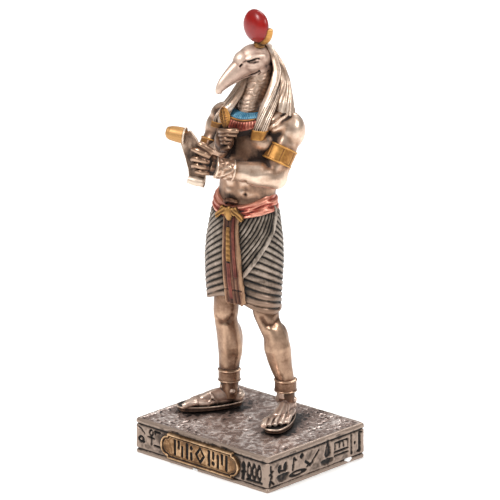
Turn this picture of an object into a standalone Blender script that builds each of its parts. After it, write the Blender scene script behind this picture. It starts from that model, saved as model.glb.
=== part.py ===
"""A small cast figure of an ibis-headed man reading a scroll, on a rectangular plinth.

Metres, +Z up. The origin is the centre of the plinth's underside, and the plinth's front faces -Y.
The figure is one casting, and the plinth is another. Sizes below are in millimetres.
"""

import math

import bmesh
import bpy
from mathutils import Matrix, Vector

MM = 0.001
OBJECT_NAME = "ibis_figure"

# The plinth, in its own frame
PLINTH_WIDTH = 34.4
PLINTH_DEPTH = 27.6
PLINTH_HEIGHT = 7.2
PLINTH_EDGE = 0.5
RIM_GROOVE_Z = 6.0
FOOT_GROOVE_Z = 0.95
GROOVE_WIDTH = 0.35
GROOVE_DEPTH = 0.3
PLATE_WIDTH = 20.4
PLATE_HEIGHT = 5.2
PLATE_PROUD = 0.7
PLATE_Z = 3.6
STROKE_DEPTH = 0.25

# The figure stands turned on the plinth, with its soles just clear of it
FIGURE_PLACE = (-3.0, 4.5, PLINTH_HEIGHT)
FIGURE_TURN = math.radians(12.0)
SOLE_GAP = 0.3
SOLE_THICK = 0.9

# Joints of the standing body, in the figure's frame: x to its left, y behind it, z from the plinth
RIGHT_HIP = (-5.6, -0.4, 33.5)
RIGHT_KNEE = (-5.76, -0.9, 20.2)
RIGHT_CALF = (-5.9, 0.3, 12.4)
RIGHT_ANKLE = (-5.24, -0.62, 6.7)
LEFT_HIP = (1.8, -0.8, 33.5)
LEFT_KNEE = (4.0, -2.5, 21.1)
LEFT_CALF = (5.5, -0.9, 13.8)
LEFT_ANKLE = (7.2, -0.4, 6.8)
LEFT_SHOULDER = (6.77, 1.49, 57.5)
LEFT_ELBOW = (5.92, -2.5, 48.7)
LEFT_WRIST = (-1.14, -8.5, 50.65)
LEFT_PALM = (-3.6, -9.9, 51.6)
RIGHT_SHOULDER = (-8.23, 1.49, 55.6)
RIGHT_ELBOW = (-9.5, -1.6, 48.7)
RIGHT_WRIST = (-4.2, -4.9, 53.9)
RIGHT_FIST = (-2.61, -5.8, 55.5)
RIGHT_HEEL = (-3.4, 1.45)
LEFT_HEEL = (6.8, 2.0)
RIGHT_FOOT_TURN = math.radians(-44.9)
LEFT_FOOT_TURN = math.radians(15.0)
SANDAL_LENGTH = 13.2
SANDAL_HALF_WIDTH = 2.7

# The head, about its own centre: forward along the gaze, to its left side, and up
HEAD_CENTRE = (-0.9, 1.1, 70.0)
HEAD_TURN = math.radians(-32.0)
BEAK_NARROW = 0.78
DISC_CENTRE = (-0.05, 0.6, 77.4)
DISC_TURN = math.radians(-20.0)
DISC_RADIUS = 3.0
DISC_THICK = 3.7

SKIN_VOXEL = 0.24
FIGURE_TRIANGLES = 8200
WIG_LOCKS = 20
WIG_LOCK_DEPTH = 0.28
KILT_PLEATS = 24
KILT_PLEAT_DEPTH = 0.32
APRON_ANGLE = math.radians(-84.0)
WRAP_EDGE = [(29.3, -70.0), (33.7, -45.0), (37.6, -20.0), (41.4, -3.0)]
WRAP_BOTTOM = 28.5
WRAP_PROUD = 0.45


def clear_scene():
    for item in list(bpy.data.objects):
        bpy.data.objects.remove(item, do_unlink=True)


def new_collection(name):
    group = bpy.data.collections.new(name)
    bpy.context.scene.collection.children.link(group)
    return group


def new_material(name, color, metallic, roughness):
    material = bpy.data.materials.new(name)
    material.use_nodes = True
    shader = material.node_tree.nodes["Principled BSDF"]
    shader.inputs["Base Color"].default_value = (*color, 1.0)
    shader.inputs["Metallic"].default_value = metallic
    shader.inputs["Roughness"].default_value = roughness
    return material


def add_object(name, data, group):
    item = bpy.data.objects.new(name, data)
    group.objects.link(item)
    return item


def mesh_from(name, bm):
    bmesh.ops.recalc_face_normals(bm, faces=bm.faces)
    mesh = bpy.data.meshes.new(name)
    bm.to_mesh(mesh)
    bm.free()
    return mesh


def placed(item):
    """Puts a form that was modelled in the figure's frame where the figure stands."""
    spot = Matrix.Translation(Vector(FIGURE_PLACE) * MM)
    item.matrix_world = spot @ Matrix.Rotation(FIGURE_TURN, 4, "Z")
    return item


def metres(point):
    return Vector(point) * MM


def mix(start, end, share):
    return tuple(a + (b - a) * share for a, b in zip(start, end))


def between(stations, value):
    """Reads a table of (key, numbers...) rows at one key, straight between its rows."""
    if value <= stations[0][0]:
        return stations[0][1:]
    for low, high in zip(stations, stations[1:]):
        if value <= high[0]:
            share = (value - low[0]) / (high[0] - low[0])
            return mix(low[1:], high[1:], share)
    return stations[-1][1:]


def loft(name, rings, group):
    """A closed skin over rings of the same count, with flat ends."""
    bm = bmesh.new()
    rows = [[bm.verts.new(metres(point)) for point in ring] for ring in rings]
    for lower, upper in zip(rows, rows[1:]):
        count = len(lower)
        for i in range(count):
            j = (i + 1) % count
            bm.faces.new((lower[i], lower[j], upper[j], upper[i]))
    bm.faces.new(list(reversed(rows[0])))
    bm.faces.new(rows[-1])
    bmesh.ops.triangulate(bm, faces=[face for face in bm.faces if len(face.verts) > 4])
    return placed(add_object(name, mesh_from(name, bm), group))


def oval(centre, half_x, half_y, count):
    """A level oval ring."""
    ring = []
    for i in range(count):
        angle = 2 * math.pi * i / count
        ring.append((centre[0] + half_x * math.cos(angle), centre[1] + half_y * math.sin(angle), centre[2]))
    return ring


def ball(name, centre, radii, group, aim=None, segments=20):
    """An ellipsoid. With aim, its first radius lies along that direction."""
    bm = bmesh.new()
    bmesh.ops.create_uvsphere(bm, u_segments=segments, v_segments=segments // 2, radius=1.0)
    shape = Matrix.Diagonal((*radii, 1.0))
    if aim is not None:
        shape = Vector(aim).to_track_quat("X", "Z").to_matrix().to_4x4() @ shape
    spot = Matrix.Scale(MM, 4) @ Matrix.Translation(centre)
    bmesh.ops.transform(bm, matrix=spot @ shape, verts=bm.verts)
    return placed(add_object(name, mesh_from(name, bm), group))


def limb(name, stations, group, sides=10, steps=6):
    """A round tube through (point, radius) stations, with filled ends."""
    curve = bpy.data.curves.new(name, "CURVE")
    curve.dimensions = "3D"
    curve.bevel_depth = MM
    curve.bevel_resolution = (sides - 4) // 2
    curve.use_fill_caps = True
    curve.resolution_u = steps
    spline = curve.splines.new("BEZIER")
    spline.bezier_points.add(len(stations) - 1)
    for knot, (point, radius) in zip(spline.bezier_points, stations):
        knot.co = metres(point)
        knot.radius = radius
        knot.handle_left_type = "AUTO"
        knot.handle_right_type = "AUTO"
    tube = placed(add_object(name + "_curve", curve, group))
    bpy.context.view_layer.update()
    solid = bpy.data.meshes.new_from_object(tube.evaluated_get(bpy.context.evaluated_depsgraph_get()))
    bm = bmesh.new()
    bm.from_mesh(solid)
    bmesh.ops.remove_doubles(bm, verts=bm.verts, dist=1e-7)
    bpy.data.objects.remove(tube)
    bpy.data.meshes.remove(solid)
    return placed(add_object(name, mesh_from(name, bm), group))


def head_point(forward, side, up):
    """A point given about the head, in the figure's frame."""
    sine, cosine = math.sin(HEAD_TURN), math.cos(HEAD_TURN)
    x = forward * sine + side * cosine
    y = -forward * cosine + side * sine
    return (HEAD_CENTRE[0] + x, HEAD_CENTRE[1] + y, HEAD_CENTRE[2] + up)


def foot_point(heel, turn, along, across, up):
    x = heel[0] + along * math.sin(turn) + across * math.cos(turn)
    y = heel[1] - along * math.cos(turn) + across * math.sin(turn)
    return (x, y, up)


def narrowed(form, share):
    """Squeezes a form of the head towards the head's middle plane."""
    side = Vector((math.cos(HEAD_TURN), math.sin(HEAD_TURN), 0.0))
    middle = side.dot(metres(HEAD_CENTRE))
    for vert in form.data.vertices:
        vert.co -= side * (side.dot(vert.co) - middle) * (1.0 - share)
    return form


def torso_forms(group):
    sections = [
        (36.0, -1.93, -0.4, 6.4, 5.1),
        (41.0, -1.8, -0.2, 5.9, 4.7),
        (44.5, -1.6, 0.1, 5.7, 4.6),
        (48.0, -1.3, 0.6, 6.2, 4.8),
        (52.0, -1.0, 1.0, 6.8, 4.9),
        (55.5, -0.8, 1.3, 7.2, 4.8),
        (58.5, -0.7, 1.6, 6.6, 4.1),
        (60.8, -0.7, 1.7, 4.2, 3.0),
    ]
    rings = [oval((cx, cy, z), a, b, 28) for z, cx, cy, a, b in sections]
    forms = [loft("torso", rings, group)]
    for side in (-1, 1):
        chest = (-0.8 + 3.1 * side, -2.0, 55.6)
        forms.append(ball("chest", chest, (3.4, 1.8, 2.5), group))
        shoulder = (RIGHT_SHOULDER, LEFT_SHOULDER)[side > 0]
        forms.append(limb("shoulder_slope", [
            ((-0.7, 1.8, 61.5), 2.6), (mix(shoulder, (-0.7, 1.8, 60.5), 0.3), 2.9), (shoulder, 2.7)], group))
    return forms


def arm_forms(group):
    forms = []
    forms.append(ball("left_deltoid", LEFT_SHOULDER, (3.1, 3.1, 3.5), group))
    forms.append(ball("right_deltoid", RIGHT_SHOULDER, (3.0, 3.0, 3.5), group))
    forms.append(limb("left_arm", [
        (LEFT_SHOULDER, 2.8), (mix(LEFT_SHOULDER, LEFT_ELBOW, 0.5), 2.75), (LEFT_ELBOW, 2.35)], group))
    forms.append(limb("left_forearm", [
        (LEFT_ELBOW, 2.35), (mix(LEFT_ELBOW, LEFT_WRIST, 0.35), 2.5), (LEFT_WRIST, 1.75)], group))
    forms.append(ball("left_elbow", LEFT_ELBOW, (2.45, 2.45, 2.45), group))
    forms.append(limb("right_arm", [
        (RIGHT_SHOULDER, 2.8), (mix(RIGHT_SHOULDER, RIGHT_ELBOW, 0.5), 2.6), (RIGHT_ELBOW, 2.2)], group))
    forms.append(limb("right_forearm", [
        (RIGHT_ELBOW, 2.2), (mix(RIGHT_ELBOW, RIGHT_WRIST, 0.4), 2.2), (RIGHT_WRIST, 1.6)], group))
    forms.append(ball("right_elbow", RIGHT_ELBOW, (2.25, 2.25, 2.25), group))
    return forms


def hand_forms(group):
    aim = Vector(LEFT_PALM) - Vector(LEFT_WRIST)
    forms = [ball("left_palm", LEFT_PALM, (2.6, 1.5, 2.2), group, aim=aim)]
    forms.append(limb("left_hand", [(LEFT_WRIST, 1.6), (LEFT_PALM, 1.6)], group))
    knuckle = Vector(LEFT_PALM) + Vector((-1.3, -0.6, 1.2))
    for i in range(4):
        root = knuckle + Vector((0.1 * i, -0.15 * i, -1.05 * i))
        tip = root + Vector((-2.3, 0.5, -0.6))
        forms.append(limb("left_finger", [(root, 0.72), (mix(root, tip, 0.5), 0.7), (tip, 0.6)], group))
    thumb = Vector(LEFT_PALM) + Vector((0.6, 0.2, 1.9))
    forms.append(limb("left_thumb", [(thumb, 0.85), (thumb + Vector((-1.5, -0.5, 0.9)), 0.8),
                                     (thumb + Vector((-2.7, -1.1, 1.0)), 0.65)], group))
    forms.append(ball("right_fist", RIGHT_FIST, (2.0, 1.7, 2.0), group))
    for i in range(4):
        start = Vector(RIGHT_FIST) + Vector((-1.1, -1.1, 1.45 - 0.95 * i))
        end = start + Vector((2.9 - 0.3 * i, -0.3, -0.15))
        forms.append(limb("right_finger", [(start, 0.55), (mix(start, end, 0.5), 0.62), (end, 0.5)], group))
    return forms


def leg_forms(group):
    forms = []
    forms.append(limb("right_leg", [
        (RIGHT_HIP, 4.2), (mix(RIGHT_HIP, RIGHT_KNEE, 0.5), 3.5), (RIGHT_KNEE, 2.5),
        (mix(RIGHT_KNEE, RIGHT_CALF, 0.5), 2.35), (RIGHT_CALF, 2.6), (RIGHT_ANKLE, 2.0),
        ((RIGHT_ANKLE[0], RIGHT_ANKLE[1], 2.2), 1.7)], group))
    forms.append(limb("left_leg", [
        (LEFT_HIP, 4.2), (mix(LEFT_HIP, LEFT_KNEE, 0.5), 3.5), (LEFT_KNEE, 2.5),
        (mix(LEFT_KNEE, LEFT_CALF, 0.5), 2.3), (LEFT_CALF, 2.55), (LEFT_ANKLE, 1.8),
        ((LEFT_ANKLE[0], LEFT_ANKLE[1], 2.2), 1.7)], group))
    for ankle in (RIGHT_ANKLE, LEFT_ANKLE):
        forms.append(limb("anklet", [((ankle[0], ankle[1], 5.4), 2.25), ((ankle[0], ankle[1], 7.9), 2.2)],
                          group))
    for heel, turn in ((RIGHT_HEEL, RIGHT_FOOT_TURN), (LEFT_HEEL, LEFT_FOOT_TURN)):
        top = SOLE_GAP + SOLE_THICK
        forms.append(limb("foot", [
            (foot_point(heel, turn, 1.9, 0.0, top + 1.2), 1.5),
            (foot_point(heel, turn, 4.6, 0.0, top + 1.3), 1.7),
            (foot_point(heel, turn, 7.6, 0.0, top + 0.9), 1.5),
            (foot_point(heel, turn, 10.0, 0.0, top + 0.5), 1.1)], group))
        outward = 1 if turn > 0 else -1
        for i in range(5):
            across = outward * (-1.45 + 0.72 * i)
            reach = 12.0 - 0.42 * i
            radius = 0.62 if i == 0 else 0.45
            forms.append(limb("toe", [
                (foot_point(heel, turn, 9.3, across, top + 0.35), radius),
                (foot_point(heel, turn, reach, across, top + 0.2), radius)], group))
    return forms


def head_forms(group):
    skull_aim = Vector(head_point(1, 0, 0)) - Vector(HEAD_CENTRE)
    forms = [ball("skull", head_point(0.2, 0, 0.1), (3.5, 2.5, 2.9), group, aim=skull_aim)]
    beak = [
        (0.8, -0.8, 2.4), (2.5, -1.4, 2.3), (4.2, -2.45, 1.95), (5.6, -3.4, 1.55), (6.7, -4.4, 1.2),
        (7.3, -5.3, 0.85), (7.35, -5.9, 0.6)]
    stations = [(head_point(forward, 0, up), radius) for forward, up, radius in beak]
    forms.append(narrowed(limb("beak", stations, group), BEAK_NARROW))
    forms.append(ball("jaw", head_point(-1.2, 0, -1.8), (2.6, 2.25, 2.1), group, aim=skull_aim))
    forms.append(limb("neck", [
        (head_point(-1.6, 0, -1.2), 2.3), ((0.0, 1.9, 66.4), 2.2), ((-0.6, 0.95, 63.0), 2.2),
        ((-1.1, 0.3, 60.0), 2.6), ((-0.9, 0.6, 58.0), 3.4)], group))
    forms.append(ball("nape", (-0.1, 2.9, 65.0), (3.4, 2.0, 4.4), group))
    disc_foot = (DISC_CENTRE[0] + 0.1, DISC_CENTRE[1] + 0.6, 73.9)
    forms.append(ball("disc_foot", disc_foot, (1.4, 1.5, 1.7), group))
    for side in (-1, 1):
        spot = head_point(1.25, 2.05 * side, 0.6)
        forms.append(ball("eye", spot, (0.75, 0.45, 0.6), group, aim=skull_aim))
    return forms


def wig_ring(z, cx, cy, a, b, count):
    ring = []
    for i in range(count):
        angle = 2 * math.pi * i / count
        lock = WIG_LOCK_DEPTH * math.cos(angle * WIG_LOCKS) * min(1.0, a / 4.0)
        ring.append((cx + (a + lock) * math.cos(angle), cy + (b + lock) * math.sin(angle), z))
    return ring


def lappet(name, path, half_width, thick, group):
    """A flat hanging lock: an oblong section carried down its path, wider at its foot."""
    rings = []
    for i, point in enumerate(path):
        width = half_width * (1.0 - 0.5 * (i / (len(path) - 1)) ** 2)
        ring = []
        for k in range(12):
            angle = 2 * math.pi * k / 12
            across = math.copysign(abs(math.cos(angle)) ** 0.5, math.cos(angle)) * width
            deep = math.copysign(abs(math.sin(angle)) ** 0.5, math.sin(angle)) * thick
            ring.append((point[0] + across * 0.97, point[1] + across * 0.2 + deep, point[2]))
        rings.append(ring)
    return loft(name, rings, group)


def wig_forms(tools):
    sections = [
        (57.2, -0.5, 4.4, 5.6, 1.8),
        (59.0, -0.4, 4.0, 7.4, 2.8),
        (62.0, -0.35, 4.1, 6.6, 3.1),
        (66.0, 0.2, 4.2, 5.1, 3.0),
        (70.0, 0.7, 3.85, 3.0, 2.1),
        (71.6, 0.7, 3.6, 2.2, 1.5),
        (72.8, 0.6, 3.4, 1.1, 0.7),
    ]
    rings = [wig_ring(*row, WIG_LOCKS * 8) for row in sections]
    forms = [loft("wig_back", rings, tools)]
    left = [(2.95, -3.75, 56.3), (3.1, -3.3, 58.2), (3.4, -2.3, 60.5), (3.9, 0.7, 63.5),
            (3.75, 3.1, 66.6), (3.1, 4.0, 68.6)]
    right = [(-5.7, -3.5, 57.4), (-5.1, -3.4, 59.3), (-4.0, -2.7, 61.3), (-3.0, -0.5, 63.4),
             (-2.1, 1.5, 66.5), (-1.4, 2.8, 68.5)]
    forms.append(lappet("left_lappet", left, 1.75, 1.0, tools))
    forms.append(lappet("right_lappet", right, 1.5, 0.95, tools))
    forms.append(limb("left_side_lock", [
        ((3.2, 4.1, 69.0), 0.9), ((4.4, 2.9, 66.2), 1.35), ((5.3, 1.5, 62.7), 1.8),
        ((5.8, 0.9, 60.2), 1.9)], tools))
    forms.append(limb("right_side_lock", [
        ((-1.6, 4.2, 69.0), 0.9), ((-3.0, 3.2, 66.2), 1.2), ((-3.9, 2.2, 62.7), 1.5),
        ((-5.9, 1.4, 60.2), 1.85)],
        tools))
    return forms


def kilt_hem(angle):
    """The hem's height: it rises at the front, where angle is -90 degrees."""
    off_front = (angle + math.pi / 2 + math.pi) % (2 * math.pi) - math.pi
    return 21.9 - 0.6 * math.cos(angle) + 2.8 * math.exp(-(off_front / 0.7) ** 2)


def wrap_edge(z):
    """The angle of the cloth's wrapped-over edge, which runs from the left hip down to the apron."""
    return math.radians(between(WRAP_EDGE, z)[0])


def pleat_fold(angle, z):
    """How far the cloth stands out: slanting pleats on each side of the wrapped-over edge."""
    off_edge = (angle - wrap_edge(z) + math.pi) % (2 * math.pi) - math.pi
    on_left = off_edge < 0.0 and angle > APRON_ANGLE
    lean = 0.55 if on_left else -0.3
    if angle < APRON_ANGLE:
        lean = 0.75
    fold = KILT_PLEAT_DEPTH * math.cos(angle * KILT_PLEATS - lean * z)
    if WRAP_BOTTOM < z and angle > APRON_ANGLE:
        fold += WRAP_PROUD * math.exp(-(off_edge / 0.07) ** 2)
    return fold


def kilt_forms(tools):
    sections = [
        (0.0, -1.9, -0.6, 7.45, 5.9),
        (0.18, -1.95, -0.6, 7.7, 6.1),
        (0.42, -1.95, -0.5, 7.95, 6.2),
        (0.62, -1.9, -0.4, 7.7, 6.0),
        (0.82, -1.8, -0.3, 6.8, 5.35),
        (1.0, -1.7, -0.1, 5.6, 4.6),
    ]
    top = 44.0
    rows = 40
    count = KILT_PLEATS * 10
    rings = []
    for row in range(rows + 1):
        share = row / rows
        cx, cy, a, b = between(sections, share)
        ring = []
        for i in range(count):
            angle = 2 * math.pi * i / count - math.pi
            hem = kilt_hem(angle)
            z = hem + (top - hem) * share
            fold = pleat_fold(angle, z) * min(1.0, (1.0 - share) * 5)
            ring.append((cx + (a + fold) * math.cos(angle), cy + (b + fold) * math.sin(angle), z))
        rings.append(ring)
    return [loft("kilt", rings, tools)]


def sash_forms(tools):
    rings = []
    rows = [(0.0, 0.3), (0.1, 0.75), (0.9, 0.7), (1.0, 0.25)]
    for share, proud in rows:
        ring = []
        for i in range(28):
            angle = 2 * math.pi * (i + 0.37) / 28
            front = max(0.0, -math.sin(angle)) ** 2
            low = 41.2 - 0.9 * front
            high = 44.1 - 1.7 * front
            z = low + (high - low) * share
            a = 6.65 - 0.33 * (z - 40.3) + proud
            b = 5.25 - 0.26 * (z - 40.3) + proud
            ring.append((-1.75 + a * math.cos(angle), -0.2 + b * math.sin(angle), z))
        rings.append(ring)
    return [loft("sash", rings, tools)]


def slab(name, outline, thick, group):
    """A flat plate from (x, z) points with its own y, thick towards the front."""
    back = [(x, y + thick / 2, z) for x, y, z in outline]
    front = [(x, y - thick / 2, z) for x, y, z in outline]
    return loft(name, [back, front], group)


def apron_forms(tools):
    forms = []
    stations = [
        (41.7, -1.72, -5.6, 1.52), (37.5, -1.55, -6.35, 1.6), (33.0, -1.2, -6.75, 1.85),
        (28.0, -0.7, -6.9, 2.0), (23.6, -0.1, -6.7, 2.05)]
    rings = []
    for z, x, y, half in stations:
        rings.append([(x - half, y + 1.6, z), (x - half, y - 0.25, z), (x - half * 0.45, y - 0.45, z),
                      (x + half * 0.3, y - 0.45, z), (x + half, y - 0.25, z), (x + half, y + 1.6, z)])
    forms.append(loft("apron", rings, tools))
    forms.append(ball("buckle_body", (-1.9, -6.3, 40.9), (1.0, 0.7, 1.8), tools, segments=12))
    for side in (-1, 1):
        root = (-1.9 + 0.4 * side, -6.3, 42.4)
        wing = [root, (-1.9 + 1.5 * side, -6.2, 42.7), (-1.9 + 3.1 * side, -5.9, 40.4),
                (-1.9 + 2.6 * side, -6.0, 39.9), (-1.9 + 0.5 * side, -6.3, 41.2)]
        forms.append(slab("wing", wing, 0.9, tools))
    forms.append(limb("pendant", [((-1.9, -6.75, 39.4), 0.75), ((-1.75, -6.95, 37.5), 0.6),
                                  ((-1.6, -7.05, 35.6), 0.5)], tools, sides=8, steps=2))
    return forms


def collar_forms(tools):
    rings = []
    for share in (0.0, 0.35, 0.7, 1.0):
        ring = []
        for i in range(26):
            angle = 2 * math.pi * i / 26
            side = abs(math.cos(angle)) ** 1.5
            drop = 3.6 - 0.5 * side
            high = 60.4 + 0.3 * side
            tilt = 1.4 * math.cos(angle) * share
            a = 3.1 + 5.1 * math.sin(share * math.pi / 2)
            b = 3.0 + 2.9 * math.sin(share * math.pi / 2)
            ring.append((-0.75 + a * math.cos(angle), 1.4 + b * math.sin(angle),
                         high - drop * share ** 1.5 * (1.0 - 0.75 * side) + tilt * 0.5))
        rings.append(ring)
    under = [(x, y, z - 1.0) for x, y, z in rings[-1]]
    return [loft("collar", rings + [under], tools)]


def ring_band(name, start, end, radius, group):
    return limb(name, [(start, radius), (end, radius)], group, sides=14, steps=2)


def trim_forms(tools):
    forms = []
    forms.append(ring_band("left_armband", mix(LEFT_SHOULDER, LEFT_ELBOW, 0.38),
                           mix(LEFT_SHOULDER, LEFT_ELBOW, 0.7), 3.0, tools))
    forms.append(ring_band("right_armband", mix(RIGHT_SHOULDER, RIGHT_ELBOW, 0.38),
                           mix(RIGHT_SHOULDER, RIGHT_ELBOW, 0.7), 2.85, tools))
    forms.append(ring_band("left_cuff", mix(LEFT_ELBOW, LEFT_WRIST, 0.8),
                           mix(LEFT_ELBOW, LEFT_WRIST, 1.08), 2.05, tools))
    for heel, turn in ((RIGHT_HEEL, RIGHT_FOOT_TURN), (LEFT_HEEL, LEFT_FOOT_TURN)):
        outline = []
        for i in range(24):
            angle = 2 * math.pi * i / 24
            along = SANDAL_LENGTH / 2 * (1 - math.cos(angle))
            width = SANDAL_HALF_WIDTH * (0.86 + 0.14 * math.sin((along / SANDAL_LENGTH - 0.3) * math.pi))
            across = math.copysign(abs(math.sin(angle)) ** 0.6, math.sin(angle)) * width
            outline.append((along, across))
        rings = []
        for up, shrink in ((SOLE_GAP, 0.97), (SOLE_GAP + SOLE_THICK, 1.0)):
            rings.append([foot_point(heel, turn, along, across * shrink, up) for along, across in outline])
        forms.append(loft("sole", rings, tools))
        forms.append(limb("strap", [
            (foot_point(heel, turn, 5.6, 2.1, 1.6), 0.7), (foot_point(heel, turn, 5.9, 1.1, 2.9), 0.6),
            (foot_point(heel, turn, 6.0, -1.1, 2.9), 0.6), (foot_point(heel, turn, 5.6, -2.1, 1.6), 0.7)],
            tools, sides=6, steps=1))
    return forms


def scroll_forms(tools):
    forms = []
    forms.append(limb("scroll_top", [((-11.4, -13.3, 57.7), 1.25), ((-9.8, -12.9, 57.5), 1.5),
                                     ((-7.7, -12.4, 57.2), 1.6)], tools, steps=3))
    forms.append(limb("scroll_foot", [((-7.7, -11.6, 48.5), 0.8), ((-6.0, -11.1, 48.1), 0.95),
                                      ((-4.7, -10.6, 48.0), 0.85)], tools, steps=2))
    edges = [
        ((-8.9, -12.7, 57.0), (-6.9, -12.1, 58.4)),
        ((-8.5, -12.4, 55.0), (-5.9, -11.4, 56.6)),
        ((-8.2, -11.6, 52.6), (-4.9, -10.6, 53.6)),
        ((-7.8, -11.2, 50.2), (-4.4, -10.2, 50.9)),
        ((-7.5, -11.4, 48.4), (-4.6, -10.6, 48.2)),
    ]
    rings = []
    for left, right in edges:
        off = Vector((0.12, 0.42, 0.1))
        rings.append([Vector(left) - off, Vector(right) - off, Vector(right) + off, Vector(left) + off])
    forms.append(loft("scroll_sheet", rings, tools))
    quill = [(-3.9, -6.9, 61.6), (-2.9, -7.1, 62.0), (-2.0, -7.0, 60.8), (-1.8, -6.8, 59.2),
             (-2.2, -6.6, 57.2), (-3.2, -6.6, 57.2), (-3.8, -6.8, 59.2)]
    forms.append(slab("quill", quill, 0.9, tools))
    return forms


def crown_forms(tools):
    face = (math.sin(DISC_TURN), -math.cos(DISC_TURN), 0.0)
    size = (DISC_THICK / 2, DISC_RADIUS, DISC_RADIUS)
    forms = [ball("disc", DISC_CENTRE, size, tools, aim=face, segments=16)]
    horn = []
    for i in range(7):
        angle = math.radians(205 + 130 * i / 6)
        across = (DISC_RADIUS - 0.2) * math.cos(angle)
        horn.append(((DISC_CENTRE[0] + across * math.cos(DISC_TURN) - math.sin(DISC_TURN),
                      DISC_CENTRE[1] + across * math.sin(DISC_TURN) + math.cos(DISC_TURN),
                      DISC_CENTRE[2] + (DISC_RADIUS - 0.1) * math.sin(angle)), 0.8 - 0.09 * abs(i - 3)))
    forms.append(limb("crescent", horn, tools, sides=8, steps=2))
    return forms


def join_to(target, pieces, operation="UNION"):
    for piece in pieces:
        piece.hide_render = True
        piece.display_type = "WIRE"
        join = target.modifiers.new(piece.name, "BOOLEAN")
        join.operation = operation
        join.solver = "EXACT"
        join.object = piece


def largest_body(bm):
    """Removes every body but the largest, such as bubbles shut in between two forms."""
    left = set(bm.verts)
    bodies = []
    while left:
        body = []
        front = [left.pop()]
        while front:
            vert = front.pop()
            body.append(vert)
            for edge in vert.link_edges:
                other = edge.other_vert(vert)
                if other in left:
                    left.remove(other)
                    front.append(other)
        bodies.append(body)
    bodies.sort(key=len)
    bmesh.ops.delete(bm, geom=[vert for body in bodies[:-1] for vert in body], context="VERTS")


def skinned(forms, group, tools):
    """Overlapping forms as one mesh with a single outer skin."""
    bm = bmesh.new()
    for form in forms:
        bm.from_mesh(form.data)
    for form in forms:
        bpy.data.objects.remove(form)
    rough = placed(add_object("rough_figure", mesh_from("rough_figure", bm), tools))
    skin = rough.modifiers.new("skin", "REMESH")
    skin.mode = "VOXEL"
    skin.voxel_size = SKIN_VOXEL * MM
    soft = rough.modifiers.new("soft", "SMOOTH")
    soft.factor = 0.5
    soft.iterations = 2
    bpy.context.view_layer.update()
    seen = bpy.data.meshes.new_from_object(rough.evaluated_get(bpy.context.evaluated_depsgraph_get()))
    bpy.data.objects.remove(rough)
    bm = bmesh.new()
    bm.from_mesh(seen)
    bpy.data.meshes.remove(seen)
    largest_body(bm)
    return placed(add_object("figure", mesh_from("figure", bm), group))


def make_figure(group, tools, bronze):
    """One casting, coarse enough to stay light."""
    makers = (torso_forms, arm_forms, hand_forms, leg_forms, head_forms, kilt_forms, sash_forms,
              collar_forms, wig_forms, apron_forms, trim_forms, scroll_forms, crown_forms)
    figure = skinned([form for maker in makers for form in maker(tools)], group, tools)
    triangles = sum(len(face.vertices) - 2 for face in figure.data.polygons)
    coarse = figure.modifiers.new("coarse", "DECIMATE")
    coarse.ratio = FIGURE_TRIANGLES / triangles
    figure.data.materials.append(bronze)
    return figure


def block(name, centre, size, group):
    bm = bmesh.new()
    bmesh.ops.create_cube(bm, size=1.0)
    spot = Matrix.Scale(MM, 4) @ Matrix.Translation(centre)
    bmesh.ops.transform(bm, matrix=spot @ Matrix.Diagonal((*size, 1.0)), verts=bm.verts)
    return add_object(name, mesh_from(name, bm), group)


def plate_outline():
    """The nameplate's outline: a long oblong with a round, stepped end on each side."""
    half = PLATE_WIDTH / 2
    tall = PLATE_HEIGHT / 2
    corner = [(half - 1.6, tall), (half - 1.5, tall - 0.55)]
    for i in range(4):
        angle = math.radians(70 - 50 * i / 3)
        corner.append((half - 1.6 + 1.6 * math.cos(angle), (tall - 0.5) * math.sin(angle)))
    right = corner + [(x, -z) for x, z in reversed(corner)]
    return right + [(-x, -z) for x, z in right]


def make_plate(tools):
    bm = bmesh.new()
    front = -PLINTH_DEPTH / 2
    rows = []
    for y in (front + 1.0, front - PLATE_PROUD):
        rows.append([bm.verts.new(metres((x, y, PLATE_Z + z))) for x, z in plate_outline()])
    count = len(rows[0])
    for i in range(count):
        j = (i + 1) % count
        bm.faces.new((rows[0][i], rows[0][j], rows[1][j], rows[1][i]))
    bm.faces.new(list(reversed(rows[0])))
    bm.faces.new(rows[1])
    return add_object("plate", mesh_from("plate", bm), tools)


def sign_strokes(half_length, skip):
    """Places of the shallow signs along one face: (along, z, width, height) in turn."""
    strokes = []
    for i in range(12):
        along = -half_length + 2.0 + i * (2 * half_length - 4.0) / 11
        if abs(along) < skip:
            continue
        tall = 2.6 if i % 3 == 0 else 0.8
        wide = 0.6 if i % 3 == 0 else 1.5
        strokes.append((along, 3.5 + (0.0, 0.9, -0.8)[i % 3], wide, tall))
        if i % 3 == 2:
            strokes.append((along, 4.6, 0.9, 0.6))
    return strokes


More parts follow.
